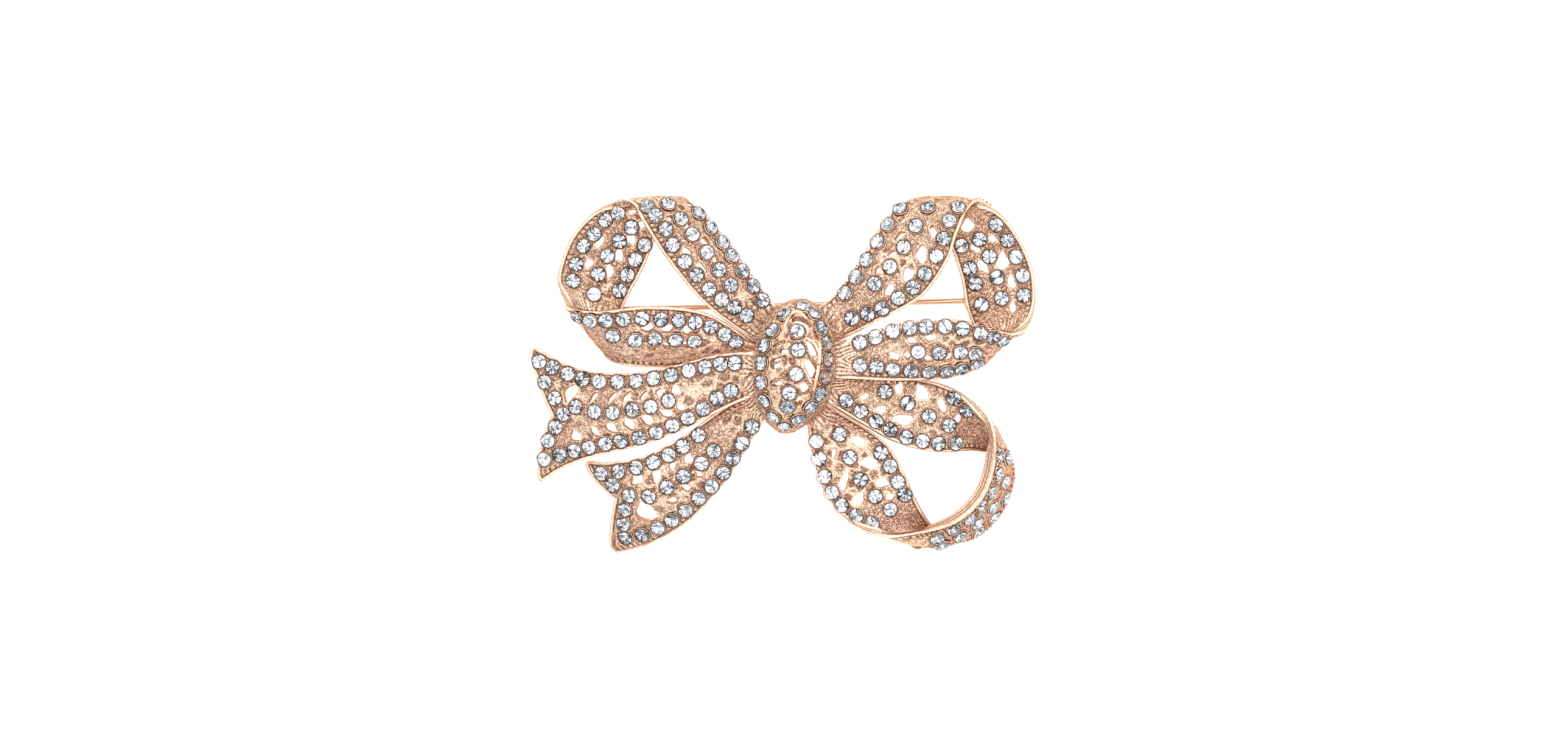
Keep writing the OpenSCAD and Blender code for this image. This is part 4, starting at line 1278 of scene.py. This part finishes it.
def object_place(tree):
    """Adds a node that gives the place on the object, and returns that output."""
    return node(tree, "ShaderNodeTexCoord").outputs["Object"]


def noise_output(tree, coordinates, scale, detail=2.0, roughness=0.5):
    """Adds a noise texture on some coordinates and returns its value."""
    return node(tree, "ShaderNodeTexNoise", {
        "Scale": scale, "Detail": detail, "Roughness": roughness, "Vector": coordinates,
    }).outputs["Fac"]


def cast_grain_group():
    """Shader node group: the grain of a casting. Amount scales the Height of its grain; its second
    output is a mask of the shade painted into its thin creases and pits, and Cloud one of its
    broad patches."""
    group, start, end = new_group(
        "Cast grain", [("Amount", "NodeSocketFloat", 1.0)],
        [(label, "NodeSocketFloat") for label in ("Height", "CreaseShade", "Cloud")])
    place = object_place(group)
    fine, coarse = (noise_output(group, place, scale, roughness=GRAIN_ROUGH)
                    for scale in (GRAIN_FINE, GRAIN_COARSE))
    crease = math_node(group, "ABSOLUTE", math_node(group, "SUBTRACT", coarse, 0.5))
    crease = math_node(group, "MULTIPLY", crease, CREASE_SHARP)
    crease = math_node(group, "SUBTRACT", 1.0, crease, clamp=True)
    pit = math_node(group, "SUBTRACT", PIT_BELOW, fine)
    pit = math_node(group, "MULTIPLY", pit, PIT_SHARP, clamp=True)
    total = math_node(group, "SUBTRACT", fine, math_node(group, "MULTIPLY", crease, CREASE_DEPTH))
    set_sockets(end, {
        "Height": math_node(group, "MULTIPLY", total, start.outputs["Amount"]),
        # Mask of the shade painted into the creases and pits
        "CreaseShade": math_node(group, "MAXIMUM", crease, pit),
        "Cloud": noise_output(group, place, GRAIN_CLOUD)})
    return group


def fine_wear_group():
    """Shader node group: fine wear of a polished metal. Height is the worn surface's, and Dulling
    is how much duller it is, from 0 to 1."""
    group, start, end = new_group(
        "Fine wear", [("Amount", "NodeSocketFloat", 1.0)],
        [("Height", "NodeSocketFloat"), ("Dulling", "NodeSocketFloat")])
    place = object_place(group)
    squeezed = node(group, "ShaderNodeMapping", {"Scale": WEAR_SQUEEZE, "Vector": place})
    lines = noise_output(group, squeezed.outputs["Vector"], WEAR_LINES, 3.0, GRAIN_ROUGH)
    set_sockets(end, {
        "Height": math_node(group, "MULTIPLY", lines, start.outputs["Amount"]),
        "Dulling": noise_output(group, place, WEAR_PATCHES)})
    return group


def new_material(name):
    """Makes a material with nodes and returns it with its tree and its main shader."""
    material = bpy.data.materials.new(name)
    material.use_nodes = True
    tree = material.node_tree
    return material, tree, tree.nodes["Principled BSDF"]


def mix_colours(tree, share, first, second):
    """Adds a mix of two colours, each a socket or a plain colour, and returns its result."""
    first, second = (value if isinstance(value, bpy.types.NodeSocket) else (*value, 1.0)
                     for value in (first, second))
    made = node(tree, "ShaderNodeMix", data_type="RGBA")
    inputs = [k for k, socket in enumerate(made.inputs) if socket.type == "RGBA"]
    set_sockets(made, {"Factor": share, inputs[0]: first, inputs[1]: second})
    return [s for s in made.outputs if s.type == "RGBA"][0]


def set_normal(shader, height, distance, strength=1.0):
    """Feeds a height in units of distance, in metres, to the shader's normal."""
    bump = node(shader.id_data, "ShaderNodeBump", {
        "Strength": strength, "Distance": distance, "Height": height})
    set_sockets(shader, {"Normal": bump.outputs["Normal"]})


def edge_on_shade(tree, shader, colour, power):
    """Paints shade onto a metal's colour where it is seen edge on, and returns its colour."""
    weight = node(tree, "ShaderNodeLayerWeight", {"Blend": EDGE_BLEND})
    share = math_node(tree, "POWER", weight.outputs["Facing"], power)
    set_sockets(shader, {"Specular Tint": EDGE_TINT})
    return mix_colours(tree, share, colour, bpy.context.scene.brooch_colours.recess_shade)


def cast_gold_material(grain):
    """Rose gold plate over a grainy casting, with shade painted into its recesses, creases and
    pits, and brighter on its polished rims.
    """
    colours = bpy.context.scene.brooch_colours
    material, tree, shader = new_material("rose_gold_cast")
    texture = node(tree, "ShaderNodeGroup", node_tree=grain)
    set_sockets(texture, {"Amount": 1.0})
    polish = attribute(tree, "polish")
    plain = math_node(tree, "SUBTRACT", 1.0, polish, clamp=True)
    # Shade painted into the grain's creases and pits, left off where the metal is polished
    lines = math_node(tree, "MULTIPLY", texture.outputs["CreaseShade"], plain)
    lines = math_node(tree, "MULTIPLY", lines, CREASE_SHADE)
    # Painted shade: the mesh's mask or the grain's, whichever is greater, mixes the colour towards
    # the shade colour
    dark = math_node(tree, "MAXIMUM", attribute(tree, "recess_shade"), lines)
    deeper = [DULLER * c for c in colours.gold]
    ground = mix_colours(tree, texture.outputs["Cloud"], colours.gold, deeper)
    bright = mix_colours(tree, polish, ground, colours.polished)
    colour = mix_colours(tree, dark, bright, colours.recess_shade)
    rough = math_node(tree, "MULTIPLY", plain, CAST_GRAIN_ROUGH)
    # Base colour with shade painted on where the metal is seen edge on
    set_sockets(shader, {
        "Base Color": edge_on_shade(tree, shader, colour, CAST_EDGE_POWER), "Metallic": 1.0,
        "Roughness": math_node(tree, "ADD", rough, CAST_ROUGH)})
    grained = math_node(tree, "ADD", plain, POLISHED_GRAIN)
    height = math_node(tree, "MULTIPLY", texture.outputs["Height"], grained)
    set_normal(shader, height, CAST_GRAIN_H)
    return material


def polished_gold_material(wear):
    """Polished rose gold of the pin, its hinge and its catch."""
    gold = bpy.context.scene.brooch_colours.gold
    material, tree, shader = new_material("rose_gold_polished")
    texture = node(tree, "ShaderNodeGroup", node_tree=wear)
    set_sockets(texture, {"Amount": 1.0})
    dulling = texture.outputs["Dulling"]
    colour = mix_colours(tree, dulling, gold, [DULLER * c for c in gold])
    rough = math_node(tree, "MULTIPLY", dulling, PIN_WEAR_ROUGH)
    # Shade painted on the pin's metal where it is seen edge on
    set_sockets(shader, {
        "Base Color": edge_on_shade(tree, shader, colour, PIN_EDGE_POWER), "Metallic": 1.0,
        "Roughness": math_node(tree, "ADD", rough, PIN_ROUGH)})
    set_normal(shader, texture.outputs["Height"], PIN_WEAR_H, PIN_WEAR_BUMP)
    return material


def crystal_material():
    """Clear crown of a stone, with faint smears of polish."""
    material, tree, shader = new_material("crystal")
    smear = noise_output(tree, object_place(tree), SMEAR_SCALE)
    set_sockets(shader, {
        "Base Color": (*WHITE, 1.0), "Transmission Weight": 1.0, "Metallic": 0.0,
        "IOR": CRYSTAL_IOR, "Roughness": math_node(tree, "MULTIPLY", smear, SMEAR_ROUGH)})
    return material


def foil_material():
    """Foiled back of a stone with painted reflections: its facets are painted bright, grey or
    black, with dark lines painted between them and painted shade all round its edge.
    """
    material, tree, shader = new_material("stone_foil")
    facet_reflection = attribute(tree, "facet_reflection")
    # Dark lines painted along the facets' edges
    parts = node(tree, "ShaderNodeSeparateXYZ", {"Vector": attribute(tree, "edge", "Vector")})
    inward = math_node(tree, "MINIMUM", math_node(
        tree, "MINIMUM", parts.outputs["X"], parts.outputs["Y"]), parts.outputs["Z"])
    line = math_node(tree, "MULTIPLY", inward, FACET_LINE)
    line = math_node(tree, "SUBTRACT", 1.0, line, clamp=True)
    # Facets painted black or grey as reflections of dark surroundings
    black = math_node(tree, "LESS_THAN", facet_reflection, FACETS_BLACK)
    grey = math_node(tree, "LESS_THAN", facet_reflection, FACETS_GREY)
    grey = math_node(tree, "MULTIPLY", grey, FACET_GREY)
    # Painted shade round the stone's edge
    ring = math_node(tree, "SUBTRACT", attribute(tree, "reach"), FOIL_EDGE_AT)
    ring = math_node(tree, "MULTIPLY", ring, FOIL_EDGE_SHARP, clamp=True)
    dark = black
    for other in (grey, line, ring):
        dark = math_node(tree, "MAXIMUM", dark, other)
    colour = mix_colours(tree, dark, bpy.context.scene.brooch_colours.foil, FOIL_REFLECTION_DARK)
    set_sockets(shader, {"Base Color": colour, "Metallic": 1.0, "Roughness": FOIL_ROUGH})
    return material


def floor_material():
    """Pale, nearly even floor with a little light of its own."""
    material, tree, shader = new_material("pale_floor")
    pale = bpy.context.scene.brooch_colours.floor
    tone = noise_output(tree, object_place(tree), FLOOR_TONE)
    set_sockets(shader, {
        "Base Color": mix_colours(tree, tone, pale, [FLOOR_DARKER * c for c in pale]),
        "Roughness": FLOOR_ROUGH, "Specular IOR Level": FLOOR_SPECULAR,
        "Emission Color": (*WHITE, 1.0), "Emission Strength": FLOOR_GLOW})
    return material


def named_material(name, maker, *parts):
    """Finds a material by name, or makes it."""
    return bpy.data.materials.get(name) or maker(*parts)


def cast_gold():
    """The cast rose gold, made once."""
    group = bpy.data.node_groups.get("Cast grain") or cast_grain_group()
    return named_material("rose_gold_cast", cast_gold_material, group)


def polished_gold():
    """The polished rose gold, made once."""
    group = bpy.data.node_groups.get("Fine wear") or fine_wear_group()
    return named_material("rose_gold_polished", polished_gold_material, group)


def heights_over_ends(line):
    """Heights in mm of a line's points over the ribbons' ends that are nearest to them."""
    ends = []
    for name, (rows, *_) in RIBBONS.items():
        starts = {"knot": (), "upper_tail": (0.0,), "lower_tail": (0.0,)}.get(
            name, (0.0, len(rows) - 1 - SKIRT_REACH))
        for start in starts:
            t, v = np.meshgrid(start + np.linspace(0, SKIRT_REACH, SKIRT_LOOKS[0]),
                               np.linspace(0, 1, SKIRT_LOOKS[1]))
            ends.append(middle_points(rows, t, v).reshape(-1, 3))
    ends = np.vstack(ends)
    far = np.linalg.norm(line[:, None, :2] - ends[None, :, :2], axis=-1)
    return line[:, 2] - ends[far.argmin(1), 2]


def softened(values, times):
    """Values round a closed line after each was mixed with its two neighbours many times."""
    for _ in range(times):
        beside = np.roll(values, 1, axis=0) + np.roll(values, -1, axis=0)
        values = (values + beside / 2) / 2
    return values


def build_knot_skirt():
    """Makes the gathered skirt between the knot and the ribbons' ends: a profile of distance out
    and share of the depth, carried along a closed line just inside the knot's border, with
    ripples of sin(2 pi (length / SKIRT_RIPPLE + noise)) on its outer side. Its depth follows the
    ribbons' ends, and where it is deep it leans inwards."""
    p = np.linspace(0, 1, SKIRT_COUNT, endpoint=False)
    t = np.interp(p, SKIRT_STOPS, SKIRT_ROWS)
    v = np.interp(p, SKIRT_STOPS, SKIRT_SHARES)
    line = softened(middle_points(KNOT_ROWS, t, v), SKIRT_SOFTENING[0])
    way = unit(np.roll(line, -1, axis=0) - np.roll(line, 1, axis=0))
    outward = unit(np.cross(way, np.array([0.0, 0.0, 1.0])))
    outward = outward * np.sign(((line - line.mean(0)) * outward).sum(-1).mean())
    length = np.cumsum(np.linalg.norm(line - np.roll(line, 1, axis=0), axis=-1))
    drift = SKIRT_DRIFT * soft_noise(line, SKIRT_NOISE, SKIRT_SEED)
    ripple = np.sin(2 * np.pi * (length / SKIRT_RIPPLE + drift))[:, None]
    outer = np.arange(len(SKIRT_PROFILE)) < SKIRT_OUTER
    depth = np.clip(heights_over_ends(line) + SKIRT_OVERLAP, *SKIRT_DEPTHS)
    depth = softened(depth, SKIRT_SOFTENING[1])[:, None]
    lean = SKIRT_LEAN * SKIRT_PROFILE[:, 1] * (depth - SKIRT_DEPTHS[0])
    away = SKIRT_PROFILE[:, 0] + SKIRT_RIPPLE_H * ripple * outer - lean
    cloud = line[:, None] + outward[:, None] * away[..., None]
    cloud[..., 2] -= SKIRT_PROFILE[:, 1] * depth
    # Shade painted into the troughs of the ripples on the skirt's outer side
    dark = SKIRT_TROUGH_SHADE * smooth_rise(*SKIRT_TROUGH_SHADE_AT, -ripple) * outer
    polish = SKIRT_POLISH * smooth_rise(*SKIRT_POLISH_AT, ripple) * outer
    k = np.arange(cloud[..., 0].size).reshape(cloud.shape[:2])
    ahead = np.roll(k, -1, axis=0)
    faces = np.stack([k, ahead, np.roll(ahead, -1, axis=1), np.roll(k, -1, axis=1)], -1)
    return cast_piece("knot_skirt", cloud.reshape(-1, 3), [faces.reshape(-1, 4)],
                      dark.ravel(), polish.ravel())


class BROOCH_OT_ribbons(bpy.types.Operator):
    """Builds the five pierced ribbons of the bow"""
    bl_idname = "brooch.ribbons"
    bl_label = "Ribbons"

    def execute(self, context):
        for name in RIBBONS:
            if name != "knot":
                build_ribbon(name)
        return {"FINISHED"}


class BROOCH_OT_knot(bpy.types.Operator):
    """Builds the domed, pierced knot"""
    bl_idname = "brooch.knot"
    bl_label = "Knot"

    def execute(self, context):
        build_ribbon("knot")
        build_bars()
        build_knot_skirt()
        return {"FINISHED"}


class BROOCH_OT_stones(bpy.types.Operator):
    """Sets the round stones"""
    bl_idname = "brooch.stones"
    bl_label = "Stones"

    def execute(self, context):
        for seed, name in enumerate(RIBBONS, STONE_SEED):
            build_stones(name, seed)
        return {"FINISHED"}


class BROOCH_OT_settings(bpy.types.Operator):
    """Builds the collars round the stones and the beads between them"""
    bl_idname = "brooch.settings"
    bl_label = "Settings and beads"

    def execute(self, context):
        for seed, name in enumerate(RIBBONS, COLLAR_SEED):
            build_settings(name, seed)
            build_beads(name)
        return {"FINISHED"}


class BROOCH_OT_pin(bpy.types.Operator):
    """Finishes the pin stem, its hinge and its catch"""
    bl_idname = "brooch.pin"
    bl_label = "Pin"

    def execute(self, context):
        for name in ("pin_hinge", "hinge_rivet", "pin_stem", "pin_catch"):
            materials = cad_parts[name].data.materials
            materials.clear()
            materials.append(polished_gold())
        return {"FINISHED"}


def add_softbox(name, place, size, power, colour):
    """Adds a rectangular light in metres that faces the frame's origin."""
    data = bpy.data.lights.new(name, "AREA")
    data.shape = "RECTANGLE"
    data.size, data.size_y = size
    data.energy = power
    data.color = colour
    light = bpy.data.objects.new(name, data)
    light.location = place
    x, y, z = place
    light.rotation_euler = (math.atan2(math.hypot(x, y), z), 0.0, math.atan2(x, -y))
    bpy.context.scene.collection.objects.link(light)


class BROOCH_OT_stage(bpy.types.Operator):
    """Lays the pale floor and sets the lights and the camera"""
    bl_idname = "brooch.stage"
    bl_label = "Stage"

    def execute(self, context):
        scene = context.scene
        corners = FLOOR_HALF * np.array([[-1, -1, 0], [1, -1, 0], [1, 1, 0], [-1, 1, 0]])
        floor = new_piece("floor", corners, [np.array([[0, 1, 2, 3]])])
        floor.data.materials.append(floor_material())

        scene.world = bpy.data.worlds.new("studio")
        scene.world.use_nodes = True
        background = scene.world.node_tree.nodes["Background"]
        set_sockets(background, {"Color": SKY, "Strength": SKY_POWER})
        for light in LIGHTS:
            add_softbox(*light)

        camera = bpy.data.cameras.new("camera")
        camera.sensor_width = SENSOR_W
        camera.lens = SENSOR_W * CAMERA_H / (IMAGE_W * PIXEL_MM * MM)
        camera.clip_end = CAMERA_FAR
        holder = bpy.data.objects.new("camera", camera)
        holder.location = (
            (IMAGE_W / 2 - ORIGIN_PX[0]) * PIXEL_MM * MM,
            (ORIGIN_PX[1] - IMAGE_H / 2) * PIXEL_MM * MM,
            CAMERA_H + PLANE_H)
        scene.collection.objects.link(holder)
        scene.camera = holder
        scene.view_settings.view_transform = "Standard"
        scene.view_settings.look = "None"
        return {"FINISHED"}


class BROOCH_PT_panel(bpy.types.Panel):
    """Steps and settings of the brooch"""
    bl_idname = "BROOCH_PT_panel"
    bl_label = "Bow Brooch"
    bl_space_type = "VIEW_3D"
    bl_region_type = "UI"
    bl_category = "Brooch"

    def draw(self, context):
        layout = self.layout
        for group in (context.scene.brooch_sizes, context.scene.brooch_colours):
            box = layout.box()
            for key in group.__annotations__:
                box.prop(group, key)
        for operator in OPERATORS:
            layout.operator(operator.bl_idname)


OPERATORS = (
    BROOCH_OT_ribbons, BROOCH_OT_knot, BROOCH_OT_stones, BROOCH_OT_settings, BROOCH_OT_pin,
    BROOCH_OT_stage,
)
CLASSES = (BroochSizes, BroochColours) + OPERATORS + (BROOCH_PT_panel,)


def register():
    for cls in CLASSES:
        bpy.utils.register_class(cls)
    bpy.types.Scene.brooch_sizes = PointerProperty(type=BroochSizes)
    bpy.types.Scene.brooch_colours = PointerProperty(type=BroochColours)


def unregister():
    del bpy.types.Scene.brooch_colours
    del bpy.types.Scene.brooch_sizes
    for cls in reversed(CLASSES):
        bpy.utils.unregister_class(cls)


def main():
    register()
    bpy.ops.brooch.ribbons()
    bpy.ops.brooch.knot()
    bpy.ops.brooch.stones()
    bpy.ops.brooch.settings()
    bpy.ops.brooch.pin()
    bpy.ops.brooch.stage()


if __name__ == "__main__":
    main()
